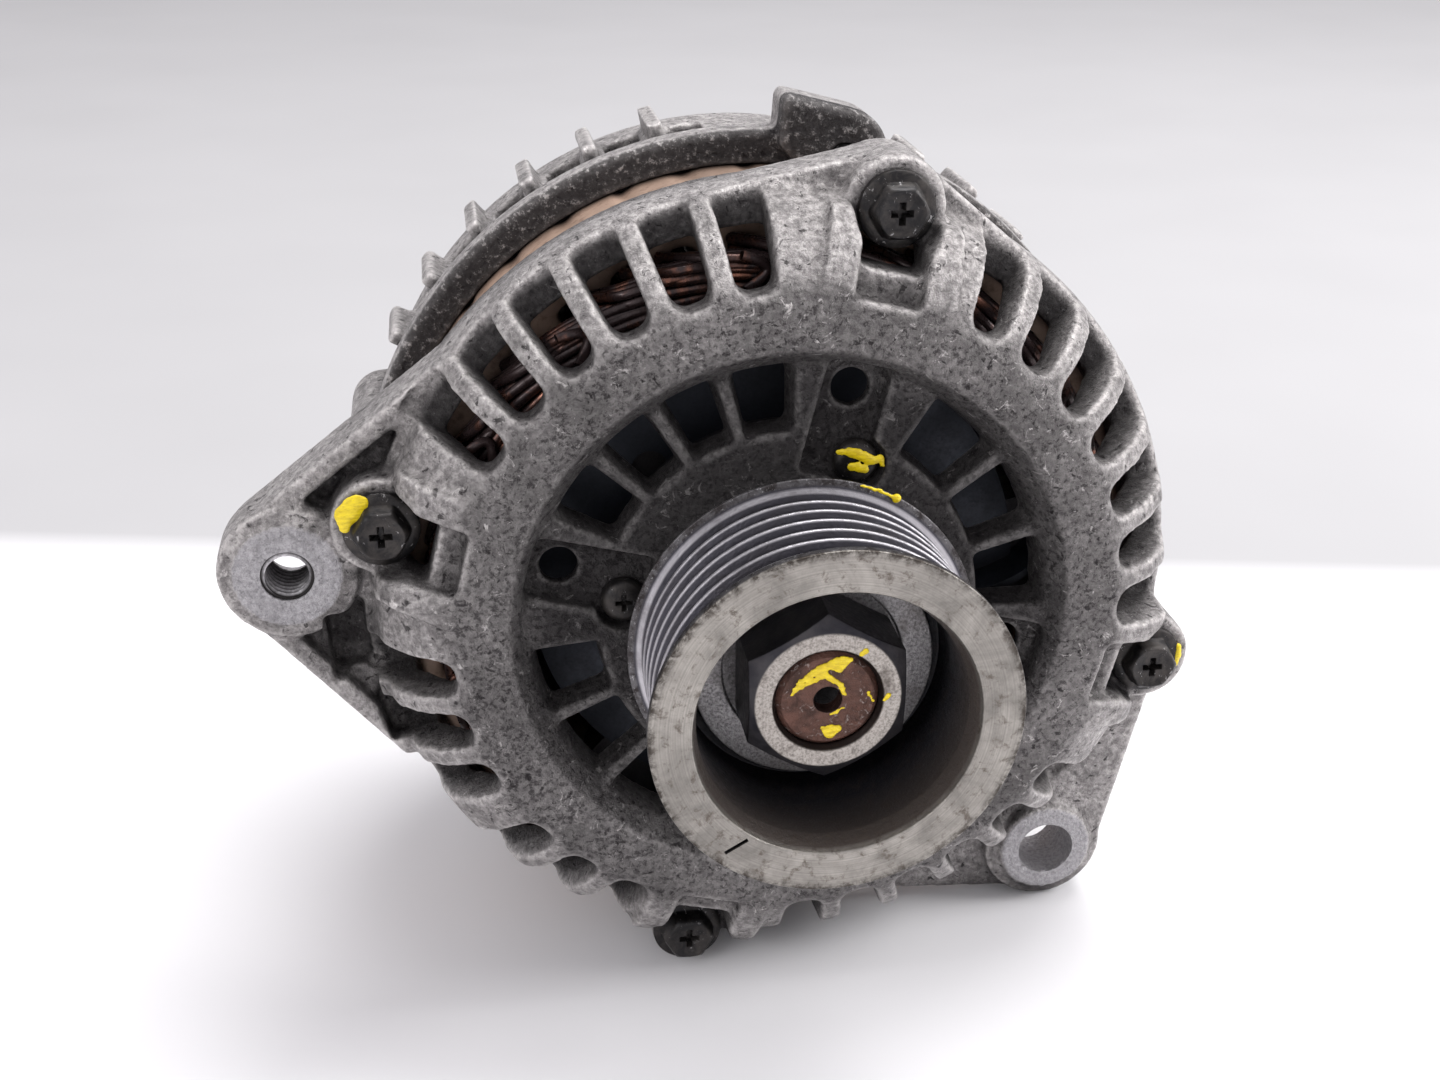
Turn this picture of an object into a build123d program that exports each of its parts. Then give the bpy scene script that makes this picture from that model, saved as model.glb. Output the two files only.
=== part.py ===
from build123d import *
import os
from math import cos, radians, sin

# Car alternator, in millimetres. The shaft lies along Y with the pulley towards -Y, +Z is up.
# The origin is on the shaft's axis, in the middle plane of the belt track.

# Driving dimensions
GROOVE_PITCH = 3.56
GROOVE_COUNT = 7
GROOVE_DEPTH = 2.9
FRONT_FACE = 19.7
BOLT_CIRCLE = 67.4
BOLT_ANGLES = (75.5, 165.5, 255.5, 345.5)
SLOT_PITCH = 10.0
RIM_RADIUS = 69.0
STATOR_RADIUS = 64.0
STATOR_BORE = 49.5
STATOR_FRONT = FRONT_FACE + 22.0
STATOR_REAR = STATOR_FRONT + 32.0
ROTOR_RADIUS = 49.1
ROTOR_FRONT = 41.0
ROTOR_REAR = 74.4
REAR_FACE = 116.0
SEAT = 0.05

# Pulley and shaft
PULLEY_FRONT = -14.3
PULLEY_REAR = 13.2
FLANGE_RADIUS = 28.2
RIDGE_RADIUS = 26.2
CUP_RADIUS = 21.5
HUB_FACE = 5.2
NUT_SEAT = 6.4
NUT_FACE = -6.4
NUT_ACROSS_FLATS = 24.0
SHAFT_RADIUS = 8.5
THREAD_RADIUS = 7.9
SHAFT_FRONT = -5.9

# Front housing
RIM_REAR = FRONT_FACE + 25.0
RIM_FRONT = FRONT_FACE + 15.5
DEEP_SLOT_END = RIM_FRONT + 4.4
RING_INNER = 45.6
RING_OUTER = 54.0
DISC_FACE = FRONT_FACE + 4.0
DISC_BACK = FRONT_FACE + 10.0
PAD_FLOOR = 27.0
HUB_RADIUS = 30.5
HUB_BACK = 33.5
BOLT_SEAT = 30.4
FIN_WIDTH = 3.6
WEB_FRONT = FRONT_FACE + 18.0
RIGHT_WEB_FRONT = FRONT_FACE + 21.0
LIP_FRONT = FRONT_FACE + 13.9
WEB_CIRCLE = 66.8
LEFT_EAR = (-80.8, 8.7)
LEFT_EAR_FACE = FRONT_FACE + 12.0
LEFT_EAR_LENGTH = 10.0
LEFT_THREAD_RADIUS = 3.4
RIGHT_EAR = (52.5, -60.0)
RIGHT_EAR_FACE = FRONT_FACE + 17.0
RIGHT_EAR_LENGTH = 12.0
RIGHT_BORE_RADIUS = 5.25
EAR_RADIUS = 11.3
SCREW_CIRCLE = 27.5
SCREW_ANGLES = (67.0, 173.0, 247.0, 353.0)

# Bearings: bore radius, outer radius, front plane, width, ball radius, ball count
FRONT_BEARING = (8.5, 20.0, 21.5, 12.0, 3.4, 8)
REAR_BEARING = (7.5, 17.5, 104.0, 11.0, 3.0, 8)

# Rear housing
REAR_RIM = FRONT_FACE + 50.0
REAR_BODY_RADIUS = 67.4
REAR_FIN_RADIUS = 71.6
REAR_FIN_FRONT = 80.0
REAR_FIN_REAR = 95.0
REAR_WALL_INNER = 110.5

# Winding
COIL_INNER = 51.2
COIL_OUTER = 60.0
REAR_COIL_OUTER = 61.0

# Slip rings, brushes and electrical parts
SLIP_RING_RADIUS = 12.5
SLIP_RING_PLANES = (91.5, 98.5)
SLIP_RING_WIDTH = 5.0
BRUSH_WIDTH = 6.4
BRUSH_THICKNESS = 4.4
BRUSH_TOP = 27.0
HOLDER_BOTTOM = 15.4
HOLDER_TOP = 38.0
SPRING_TOP = HOLDER_TOP - 1.5
HOLDER_MIDDLE = 95.0
HEAT_SINK_Z = 46.5
STUD_PLACE = (46.0, 25.0)
STUD_SHANK_RADIUS = 4.2
STUD_ENGAGED_RADIUS = 3.6
STUD_THREAD_RADIUS = 3.95
STUD_NUT_FRONT = 119.4
STUD_NUT_REAR = 124.8
STUD_END = 136.0
SOCKET_CENTRE_Z = 46.0
SOCKET_FRONT = 102.5
SOCKET_STEP = 108.5
SOCKET_REAR = 128.0
PIN_SPACING = (-4.5, 0.0, 4.5)
POSITIVE_PLATE_FRONT = 98.0
BOARD_FRONT = 102.6
NEGATIVE_PLATE_FRONT = 107.6
SCREW_HOLE_RADIUS = 2.1
DIODE_RADIUS = 5.5
POSITIVE_CIRCLE = 42.0
NEGATIVE_CIRCLE = 35.0
RECTIFIER_SCREW_CIRCLE = 51.0
REAR_BOSS_RADIUS = 6.3


def station(y):
    """A sketch plane square to the shaft at y, drawn as seen from the pulley's side."""
    return Plane.XZ.offset(-y)


def polar(radius, angle):
    """The X and Z of a point at a radius and an angle from +X towards +Z."""
    return (radius * cos(radians(angle)), radius * sin(radians(angle)))


def save(piece, name):
    """Label a finished piece and write it to its own STEP file."""
    piece.part.label = name
    export_step(piece.part, "parts/" + name + ".step")


def turned(points):
    """A solid of revolution about the shaft from (radius, y) corners."""
    with BuildPart() as piece:
        with BuildSketch(Plane.XY):
            with BuildLine():
                Polyline(*points, close=True)
            make_face()
        revolve(axis=Axis.Y)
    return piece


def sector(inner, outer, start, end):
    """A sketch of a ring's sector between two radii and two angles."""
    middle = (start + end) / 2
    with BuildSketch(Plane.XY) as shape:
        with BuildLine():
            Line(polar(inner, start), polar(outer, start))
            ThreePointArc(polar(outer, start), polar(outer, middle), polar(outer, end))
            Line(polar(outer, end), polar(inner, end))
            ThreePointArc(polar(inner, end), polar(inner, middle), polar(inner, start))
        make_face()
    return shape.sketch


def vent_slot(inner, outer):
    """One radial slot at angle zero, which leaves a fin of even width beside it."""
    pitch = radians(SLOT_PITCH)
    half_in = (inner * pitch - FIN_WIDTH) / 2
    half_out = (outer * pitch - FIN_WIDTH) / 2
    with BuildSketch(Plane.XY) as shape:
        with BuildLine():
            Polyline(
                (inner, -half_in),
                (outer, -half_out),
                (outer, half_out),
                (inner, half_in),
                close=True,
            )
        make_face()
        fillet(shape.vertices().group_by(Axis.X)[0], radius=half_in * 0.8)
    return shape.sketch


def spaced(start, count, pitch=SLOT_PITCH):
    """Evenly spaced angles."""
    return [start + pitch * step for step in range(count)]


DEEP_SLOTS = spaced(186.7, 3) + spaced(221.0, 3) + spaced(-87.0, 6)
FRONT_SLOTS = spaced(96.5, 6) + spaced(-2.0, 7) + DEEP_SLOTS
WINDOWS = (
    (89.5, 104.2),
    (106.8, 120.0),
    (122.6, 136.0),
    (138.6, 153.4),
    (-2.4, 15.2),
    (17.8, 35.2),
    (37.8, 57.4),
    (185.0, 201.7),
    (204.3, 221.9),
    (224.5, 241.5),
    (272.5, 288.7),
    (291.3, 307.7),
    (310.3, 329.0),
)
RECTIFIER_START = 150.0
RECTIFIER_END = 402.0
POSITIVE_DIODES = spaced(163.0, 6, 36.0)
NEGATIVE_DIODES = spaced(181.0, 6, 36.0)
RECTIFIER_SCREWS = (154.5, 274.0, 397.0)

os.makedirs("parts", exist_ok=True)

# Front housing: a flat ring, a finned shoulder, a recessed inner disc and a bearing hub
slot_shape = vent_slot(55.4, 70.6)
with BuildPart() as front_housing:
    with BuildSketch(Plane.XY):
        with BuildLine():
            Polyline(
                (14.0, 17.8),
                (22.2, 17.8),
                (22.8, DISC_FACE),
                (RING_INNER - 2.4, DISC_FACE),
                (RING_INNER, FRONT_FACE + 0.8),
                (RING_INNER + 0.8, FRONT_FACE),
                (RING_OUTER, FRONT_FACE),
                (57.2, FRONT_FACE + 1.3),
                (62.4, FRONT_FACE + 4.6),
                (66.4, FRONT_FACE + 9.2),
                (68.2, RIM_FRONT - 1.0),
                (RIM_RADIUS, RIM_FRONT + 3.0),
                (RIM_RADIUS, RIM_REAR),
                (STATOR_RADIUS + 0.1, RIM_REAR),
                (STATOR_RADIUS + 0.1, STATOR_FRONT),
                (62.4, STATOR_FRONT),
                (62.4, RIM_FRONT),
                (54.8, FRONT_FACE + 5.5),
                (46.5, FRONT_FACE + 5.5),
                (46.5, DISC_BACK),
                (HUB_RADIUS, DISC_BACK),
                (HUB_RADIUS, HUB_BACK),
                (FRONT_BEARING[1] + 0.02, HUB_BACK),
                (FRONT_BEARING[1] + 0.02, 21.5),
                (14.0, 21.5),
                close=True,
            )
        make_face()
    revolve(axis=Axis.Y)
    # Webs that carry the two ears, and the tangent band that runs up to the top bolt
    with BuildSketch(station(LIP_FRONT)):
        Circle(WEB_CIRCLE)
        with Locations(LEFT_EAR):
            Circle(EAR_RADIUS - 0.5)
        make_hull()
    extrude(amount=LIP_FRONT - RIM_REAR)
    with BuildSketch(station(RIGHT_WEB_FRONT)):
        Circle(WEB_CIRCLE)
        with Locations(RIGHT_EAR):
            Circle(EAR_RADIUS - 0.3)
        make_hull()
    extrude(amount=RIGHT_WEB_FRONT - RIM_REAR)
    with BuildSketch(station(RIGHT_WEB_FRONT - 2.4)):
        with Locations(RIGHT_EAR):
            Circle(EAR_RADIUS - 0.8)
        with Locations(polar(BOLT_CIRCLE, BOLT_ANGLES[3])):
            Circle(7.8)
        make_hull()
    extrude(amount=RIGHT_WEB_FRONT - 2.8 - RIM_REAR)
    with BuildSketch(station(RIM_FRONT + 0.2)):
        Circle(RIM_RADIUS - 0.4)
        with Locations(polar(BOLT_CIRCLE, BOLT_ANGLES[0])):
            Circle(8.0)
        make_hull()
    extrude(amount=RIM_FRONT + 0.6 - RIM_REAR)
    # The hollow of the left web, inside a raised lip
    with BuildSketch(station(LIP_FRONT - 1.0)):
        Circle(WEB_CIRCLE)
        with Locations(LEFT_EAR):
            Circle(EAR_RADIUS - 0.5)
        make_hull()
        offset(amount=-3.4)
        Circle(RIM_RADIUS + 0.3, mode=Mode.SUBTRACT)
        with Locations(LEFT_EAR):
            Circle(EAR_RADIUS + 0.6, mode=Mode.SUBTRACT)
    extrude(amount=LIP_FRONT - 1.0 - WEB_FRONT, mode=Mode.SUBTRACT)
    # Ears
    with BuildSketch(station(LEFT_EAR_FACE + 0.8)):
        with Locations(LEFT_EAR):
            Circle(EAR_RADIUS)
    extrude(amount=0.8 - LEFT_EAR_LENGTH)
    with BuildSketch(station(LEFT_EAR_FACE)):
        with Locations(LEFT_EAR):
            Circle(9.1)
    extrude(amount=-2.0)
    with BuildSketch(station(RIGHT_EAR_FACE + 1.6)):
        with Locations(RIGHT_EAR):
            Circle(EAR_RADIUS)
    extrude(amount=1.6 - RIGHT_EAR_LENGTH)
    with BuildSketch(station(RIGHT_EAR_FACE)):
        with Locations(RIGHT_EAR):
            Circle(8.9)
    extrude(amount=-3.0)
    # Bolt bosses, each with two legs that reach in to the ring
    with BuildSketch(station(BOLT_SEAT)):
        for angle, boss_radius in zip(BOLT_ANGLES, (8.2, 8.2, 6.4, 8.2)):
            with Locations(polar(BOLT_CIRCLE, angle)):
                Circle(boss_radius)
    extrude(amount=BOLT_SEAT - RIM_REAR)
    for angle in BOLT_ANGLES:
        for side in (-8.3, 8.3):
            leg_plane = Plane(
                origin=(0, 0, 0),
                x_dir=(cos(radians(angle)), 0, sin(radians(angle))),
                z_dir=(-sin(radians(angle)), 0, cos(radians(angle))),
            ).offset(side - 2.7)
            with BuildSketch(leg_plane):
                with BuildLine():
                    Polyline(
                        (52.0, FRONT_FACE),
                        (56.5, FRONT_FACE + 0.4),
                        (63.5, FRONT_FACE + 3.6),
                        (66.6, FRONT_FACE + 7.0),
                        (67.6, RIM_FRONT),
                        (67.6, RIM_FRONT + 2.0),
                        (52.0, FRONT_FACE + 5.0),
                        close=True,
                    )
                make_face()
            extrude(amount=5.4)
    # Vent slots between the fins
    with BuildSketch(station(FRONT_FACE - 2.0)):
        for angle in FRONT_SLOTS:
            add(slot_shape, rotation=angle)
    extrude(amount=FRONT_FACE - 2.0 - RIM_FRONT, mode=Mode.SUBTRACT)
    with BuildSketch(station(FRONT_FACE - 2.0)):
        for angle in DEEP_SLOTS:
            add(slot_shape, rotation=angle)
    extrude(amount=FRONT_FACE - 2.0 - DEEP_SLOT_END, mode=Mode.SUBTRACT)
    # Pockets between the legs: a shallow ledge beside the ring, then an opening and the bolt's seat
    for angle in BOLT_ANGLES:
        with BuildSketch(station(FRONT_FACE - 2.0)):
            with PolarLocations(0, 1, start_angle=angle):
                with Locations((58.0, 0)):
                    Rectangle(6.6, 10.8)
        extrude(amount=-5.6, mode=Mode.SUBTRACT)
        with BuildSketch(station(FRONT_FACE - 2.0)):
            with PolarLocations(0, 1, start_angle=angle):
                with Locations((60.8, 0)):
                    Rectangle(3.6, 10.8)
        extrude(amount=-26.0, mode=Mode.SUBTRACT)
        with BuildSketch(station(FRONT_FACE - 2.0)):
            with PolarLocations(0, 1, start_angle=angle):
                with Locations((64.0, 0)):
                    Rectangle(7.0, 10.8)
                with Locations((BOLT_CIRCLE, 0)):
                    Circle(7.2)
        extrude(amount=FRONT_FACE - 2.0 - BOLT_SEAT, mode=Mode.SUBTRACT)
    # Inner windows, pads and holes
    for start, end in WINDOWS:
        with BuildSketch(station(DISC_FACE)):
            add(sector(31.6, RING_INNER - 2.4, start, end))
        with BuildSketch(station(DISC_BACK)):
            add(sector(32.4, RING_INNER - 3.6, start + 1.8, end - 1.8))
        loft(ruled=True, mode=Mode.SUBTRACT)
    with BuildSketch(station(DISC_FACE - 2.0)):
        for angle in BOLT_ANGLES:
            with PolarLocations(0, 1, start_angle=angle):
                with Locations((34.2, 0)):
                    Rectangle(20.0, 10.6)
        for angle in SCREW_ANGLES:
            with Locations(polar(SCREW_CIRCLE, angle)):
                Circle(4.6)
    extrude(amount=DISC_FACE - 2.0 - PAD_FLOOR, mode=Mode.SUBTRACT)
    with BuildSketch(station(DISC_FACE - 2.0)):
        for angle in BOLT_ANGLES:
            with Locations(polar(38.8, angle)):
                Circle(3.1)
        for angle in SCREW_ANGLES:
            with Locations(polar(SCREW_CIRCLE, angle)):
                Circle(2.6)
    extrude(amount=DISC_FACE - 2.0 - HUB_BACK, mode=Mode.SUBTRACT)
    # The hollow that takes the coil head and the stator's front edge
    with BuildSketch(Plane.XY):
        with BuildLine():
            Polyline(
                (46.5, FRONT_FACE + 5.5),
                (54.8, FRONT_FACE + 5.5),
                (62.4, RIM_FRONT),
                (62.4, STATOR_FRONT),
                (STATOR_RADIUS + 0.1, STATOR_FRONT),
                (STATOR_RADIUS + 0.1, RIM_REAR + 1.0),
                (0.0, RIM_REAR + 1.0),
                (0.0, HUB_BACK),
                (HUB_RADIUS, HUB_BACK),
                (HUB_RADIUS, DISC_BACK),
                (46.5, DISC_BACK),
                close=True,
            )
        make_face()
    revolve(axis=Axis.Y, mode=Mode.SUBTRACT)
    # Holes for the bolts and the ears, and the dark hollow beside the left ear
    with BuildSketch(station(FRONT_FACE)):
        for angle in BOLT_ANGLES:
            with Locations(polar(BOLT_CIRCLE, angle)):
                Circle(2.6)
        with Locations(LEFT_EAR):
            Circle(LEFT_THREAD_RADIUS)
        with Locations(RIGHT_EAR):
            Circle(RIGHT_BORE_RADIUS)
    extrude(amount=-40.0, mode=Mode.SUBTRACT)
    with BuildSketch(station(LEFT_EAR_FACE)):
        with Locations(LEFT_EAR):
            Circle(4.6)
    extrude(amount=-1.2, taper=45, mode=Mode.SUBTRACT)
    with BuildSketch(station(FRONT_FACE + 8.0)):
        add(sector(69.6, 76.0, 179.4, 189.0))
    extrude(amount=-14.0, mode=Mode.SUBTRACT)
save(front_housing, "front_housing")

# Rear housing: a cup that clamps the stator from behind, with slots round its side and end
side_angles = [angle for angle in spaced(7.0, 36) if 13 < (angle - BOLT_ANGLES[0]) % 90 < 77]
end_angles = [angle for angle in spaced(5.0, 36) if abs(angle - 90.0) > 32 and abs(angle - 25.0) > 14]
with BuildPart() as rear_housing:
    with BuildSketch(Plane.XY):
        with BuildLine():
            Polyline(
                (STATOR_RADIUS + 0.1, REAR_RIM),
                (69.6, REAR_RIM),
                (70.2, REAR_RIM + 0.8),
                (70.2, REAR_RIM + 5.0),
                (REAR_BODY_RADIUS, REAR_RIM + 8.0),
                (REAR_BODY_RADIUS, 100.0),
                (64.5, 110.0),
                (57.0, 115.4),
                (24.0, REAR_FACE),
                (21.6, 119.5),
                (20.4, 120.6),
                (0.0, 120.6),
                (0.0, 116.6),
                (REAR_BEARING[1] + 0.7, 116.6),
                (REAR_BEARING[1] + 0.7, 103.0),
                (22.0, 103.0),
                (22.0, REAR_WALL_INNER),
                (55.0, REAR_WALL_INNER),
                (60.4, 106.5),
                (62.8, 98.0),
                (62.8, STATOR_REAR),
                (STATOR_RADIUS + 0.1, STATOR_REAR),
                close=True,
            )
        make_face()
    revolve(axis=Axis.Y)
    # Bolt bosses, the lug beside the top bolt, and the fins that stand out of the side
    with BuildSketch(station(REAR_RIM)):
        for angle in BOLT_ANGLES:
            with Locations(polar(BOLT_CIRCLE, angle)):
                Circle(REAR_BOSS_RADIUS)
    extrude(amount=REAR_RIM - 92.0)
    with BuildSketch(station(REAR_RIM - 3.0)):
        with Locations(polar(BOLT_CIRCLE + 0.6, BOLT_ANGLES[0])):
            Circle(7.6)
        with Locations(polar(75.4, 84.6)):
            Circle(1.2)
        with Locations(polar(68.6, 84.6)):
            Circle(1.2)
        make_hull()
    extrude(amount=-11.0)
    with BuildSketch(station(REAR_FIN_FRONT - 2.0)):
        for angle in side_angles:
            with PolarLocations(0, 1, start_angle=angle + SLOT_PITCH / 2):
                with Locations(((REAR_FIN_RADIUS + 65.0) / 2, 0)):
                    Rectangle(REAR_FIN_RADIUS - 65.0, 2.8)
    extrude(amount=REAR_FIN_FRONT - 2.0 - REAR_FIN_REAR)
    with BuildSketch(station(REAR_FIN_FRONT)):
        for angle in side_angles:
            with PolarLocations(0, 1, start_angle=angle):
                with Locations((66.0, 0)):
                    Rectangle(12.0, 6.6)
    extrude(amount=REAR_FIN_FRONT - REAR_FIN_REAR + 2.0, mode=Mode.SUBTRACT)
    with BuildSketch(station(REAR_WALL_INNER - 4.0)):
        for angle in end_angles:
            add(sector(29.0, 52.0, angle - 3.0, angle + 3.0))
    extrude(amount=-16.0, mode=Mode.SUBTRACT)
    # The socket's opening, the battery stud's hole and the hollow inside
    with BuildSketch(station(REAR_WALL_INNER - 1.0)):
        with Locations((0, SOCKET_CENTRE_Z)):
            RectangleRounded(27.0, 16.6, 3.0)
        with Locations(polar(*STUD_PLACE)):
            Circle(7.6)
        for angle in RECTIFIER_SCREWS:
            with Locations(polar(RECTIFIER_SCREW_CIRCLE, angle)):
                Circle(SCREW_HOLE_RADIUS)
    extrude(amount=-18.0, mode=Mode.SUBTRACT)
    with BuildSketch(Plane.XY):
        with BuildLine():
            Polyline(
                (0.0, REAR_RIM - 4.0),
                (STATOR_RADIUS + 0.1, REAR_RIM - 4.0),
                (STATOR_RADIUS + 0.1, STATOR_REAR),
                (62.8, STATOR_REAR),
                (62.8, 98.0),
                (60.4, 106.5),
                (55.0, REAR_WALL_INNER),
                (22.0, REAR_WALL_INNER),
                (22.0, 103.0),
                (0.0, 103.0),
                close=True,
            )
        make_face()
    revolve(axis=Axis.Y, mode=Mode.SUBTRACT)
    with BuildSketch(station(REAR_RIM - 4.0)):
        for angle in BOLT_ANGLES:
            with Locations(polar(BOLT_CIRCLE, angle)):
                Circle(2.5)
    extrude(amount=-24.0, mode=Mode.SUBTRACT)
save(rear_housing, "rear_housing")

# Stator core: stacked laminations, slotted inside for the winding and scalloped outside
with BuildPart() as stator_core:
    with BuildSketch(station(STATOR_FRONT)):
        Circle(STATOR_RADIUS)
        Circle(STATOR_BORE, mode=Mode.SUBTRACT)
        with PolarLocations(54.5, 36, start_angle=5.0):
            Rectangle(9.0, 4.4, mode=Mode.SUBTRACT)
        with PolarLocations(STATOR_RADIUS + 1.0, 36):
            Circle(1.9, mode=Mode.SUBTRACT)
    extrude(amount=STATOR_FRONT - STATOR_REAR)
save(stator_core, "stator_core")

# Stator winding: a coil head at each end, joined by the bars that lie in the core's slots
with BuildPart() as stator_winding:
    with BuildSketch(station(STATOR_FRONT - 0.4)):
        Circle(COIL_OUTER)
        Circle(COIL_INNER, mode=Mode.SUBTRACT)
    extrude(amount=10.4)
    fillet(stator_winding.edges().filter_by(GeomType.CIRCLE).group_by(Axis.Y)[0], radius=3.8)
    with BuildSketch(station(STATOR_REAR + 0.4)):
        Circle(REAR_COIL_OUTER)
        Circle(COIL_INNER, mode=Mode.SUBTRACT)
    extrude(amount=-12.0)
    fillet(stator_winding.edges().filter_by(GeomType.CIRCLE).group_by(Axis.Y)[-1], radius=3.0)
    with BuildSketch(station(STATOR_FRONT - 1.0)):
        with PolarLocations(55.0, 36, start_angle=5.0):
            Rectangle(7.0, 3.8)
    extrude(amount=STATOR_FRONT - STATOR_REAR - 2.0)
save(stator_winding, "stator_winding")

# Through bolts: hexagon on a round flange, with a cross recess
with BuildPart() as through_bolts:
    for angle in BOLT_ANGLES:
        place = polar(BOLT_CIRCLE, angle)
        with BuildSketch(station(BOLT_SEAT)):
            with Locations(place):
                Circle(6.2)
        extrude(amount=1.4)
        with BuildSketch(station(BOLT_SEAT - 1.4)):
            with Locations(place):
                RegularPolygon(radius=4.2, side_count=6, major_radius=False)
        extrude(amount=3.1)
        with BuildSketch(station(BOLT_SEAT)):
            with Locations(place):
                Circle(2.4)
        extrude(amount=-58.0)
        with BuildSketch(station(BOLT_SEAT - 4.5)):
            with Locations(place):
                Rectangle(5.0, 1.3)
                Rectangle(1.3, 5.0)
        extrude(amount=-2.0, mode=Mode.SUBTRACT)
save(through_bolts, "through_bolts")

# Bearing retainer and its four screws
with BuildPart() as bearing_retainer:
    with BuildSketch(station(HUB_BACK)):
        Circle(30.0)
        Circle(17.0, mode=Mode.SUBTRACT)
        for angle in SCREW_ANGLES:
            with Locations(polar(SCREW_CIRCLE, angle)):
                Circle(2.45, mode=Mode.SUBTRACT)
    extrude(amount=-2.2)
save(bearing_retainer, "bearing_retainer")

with BuildPart() as retainer_screws:
    for angle in SCREW_ANGLES:
        place = polar(SCREW_CIRCLE, angle)
        with BuildSketch(station(PAD_FLOOR)):
            with Locations(place):
                Circle(3.75)
        extrude(amount=2.4)
        with BuildSketch(station(PAD_FLOOR)):
            with Locations(place):
                Circle(2.4)
        extrude(amount=-9.5)
        with BuildSketch(station(PAD_FLOOR - 2.4)):
            with Locations(place):
                Rectangle(4.4, 1.1)
                Rectangle(1.1, 4.4)
        extrude(amount=-1.5, mode=Mode.SUBTRACT)
save(retainer_screws, "retainer_screws")


def bearing(prefix, sizes):
    """The outer race, inner race, and balls with their cage of one deep-groove bearing."""
    bore, outside, front, width, ball, count = sizes
    middle = front + width / 2
    pitch = (bore + outside) / 2
    for name, inner, outer in (
        ("outer_race", pitch + ball * 0.62, outside),
        ("inner_race", bore + 0.02, pitch - ball * 0.62),
    ):
        with BuildPart() as race:
            with BuildSketch(station(front)):
                Circle(outer)
                Circle(inner, mode=Mode.SUBTRACT)
            extrude(amount=-width)
            with BuildSketch(Plane.XY):
                with Locations((pitch, middle)):
                    Circle(ball + 0.12)
            revolve(axis=Axis.Y, mode=Mode.SUBTRACT)
        save(race, prefix + "_" + name)
    with BuildPart() as balls:
        with BuildSketch(station(middle - ball * 0.55)):
            Circle(pitch + 1.1)
            Circle(pitch - 1.1, mode=Mode.SUBTRACT)
        extrude(amount=-ball * 1.1)
        with Locations(Plane.XZ.offset(-middle)):
            with PolarLocations(pitch, count):
                Sphere(ball)
    save(balls, prefix + "_balls")


bearing("front_bearing", FRONT_BEARING)
bearing("rear_bearing", REAR_BEARING)

tolerance_ring = turned(
    [
        (REAR_BEARING[1] + 0.05, REAR_BEARING[2] + 1.0),
        (REAR_BEARING[1] + 0.65, REAR_BEARING[2] + 1.0),
        (REAR_BEARING[1] + 0.65, REAR_BEARING[2] + 10.0),
        (REAR_BEARING[1] + 0.05, REAR_BEARING[2] + 10.0),
    ]
)
save(tolerance_ring, "rear_bearing_sleeve")

# Rotor shaft: threaded nose, bearing seats and a drilled centre
with BuildPart() as rotor_shaft:
    with BuildSketch(Plane.XY):
        with BuildLine():
            Polyline(
                (0.0, SHAFT_FRONT + 4.0),
                (2.2, SHAFT_FRONT + 2.6),
                (2.2, SHAFT_FRONT),
                (THREAD_RADIUS - 0.8, SHAFT_FRONT),
                (THREAD_RADIUS, SHAFT_FRONT + 0.9),
                (THREAD_RADIUS, NUT_SEAT),
                (SHAFT_RADIUS, NUT_SEAT + 0.6),
                (SHAFT_RADIUS, ROTOR_REAR + 1.4),
                (REAR_BEARING[0], ROTOR_REAR + 2.0),
                (REAR_BEARING[0], 115.0),
                (REAR_BEARING[0] - 0.6, 115.6),
                (0.0, 115.6),
                close=True,
            )
        make_face()
    revolve(axis=Axis.Y)
save(rotor_shaft, "rotor_shaft")

# Pulley: a poly-V track round a deep cup, with a hub that the nut clamps
track = [(FLANGE_RADIUS, PULLEY_FRONT), (FLANGE_RADIUS, PULLEY_FRONT + 1.7)]
for step in range(GROOVE_COUNT):
    groove = (step - (GROOVE_COUNT - 1) / 2) * GROOVE_PITCH
    track.append((RIDGE_RADIUS, groove - GROOVE_PITCH / 2 + 0.25))
    track.append((RIDGE_RADIUS - GROOVE_DEPTH, groove - 0.3))
    track.append((RIDGE_RADIUS - GROOVE_DEPTH, groove + 0.3))
    track.append((RIDGE_RADIUS, groove + GROOVE_PITCH / 2 - 0.25))
track.append((FLANGE_RADIUS, PULLEY_REAR - 0.4))
track.append((FLANGE_RADIUS, PULLEY_REAR))
with BuildPart() as pulley:
    with BuildSketch(Plane.XY):
        with BuildLine():
            Polyline(
                *track,
                (23.0, PULLEY_REAR),
                (21.0, PULLEY_REAR - 1.2),
                (15.4, PULLEY_REAR - 1.2),
                (15.4, PULLEY_REAR),
                (SHAFT_RADIUS + SEAT, PULLEY_REAR),
                (SHAFT_RADIUS + SEAT, NUT_SEAT + 0.1),
                (14.3, NUT_SEAT),
                (14.3, HUB_FACE + 0.4),
                (14.7, HUB_FACE),
                (18.7, HUB_FACE),
                (19.1, HUB_FACE + 0.4),
                (19.4, HUB_FACE + 3.0),
                (21.0, HUB_FACE + 3.0),
                (20.6, PULLEY_FRONT + 4.0),
                (CUP_RADIUS + 0.1, PULLEY_FRONT + 0.5),
                (CUP_RADIUS + 0.6, PULLEY_FRONT),
                close=True,
            )
        make_face()
    revolve(axis=Axis.Y)
save(pulley, "pulley")

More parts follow.
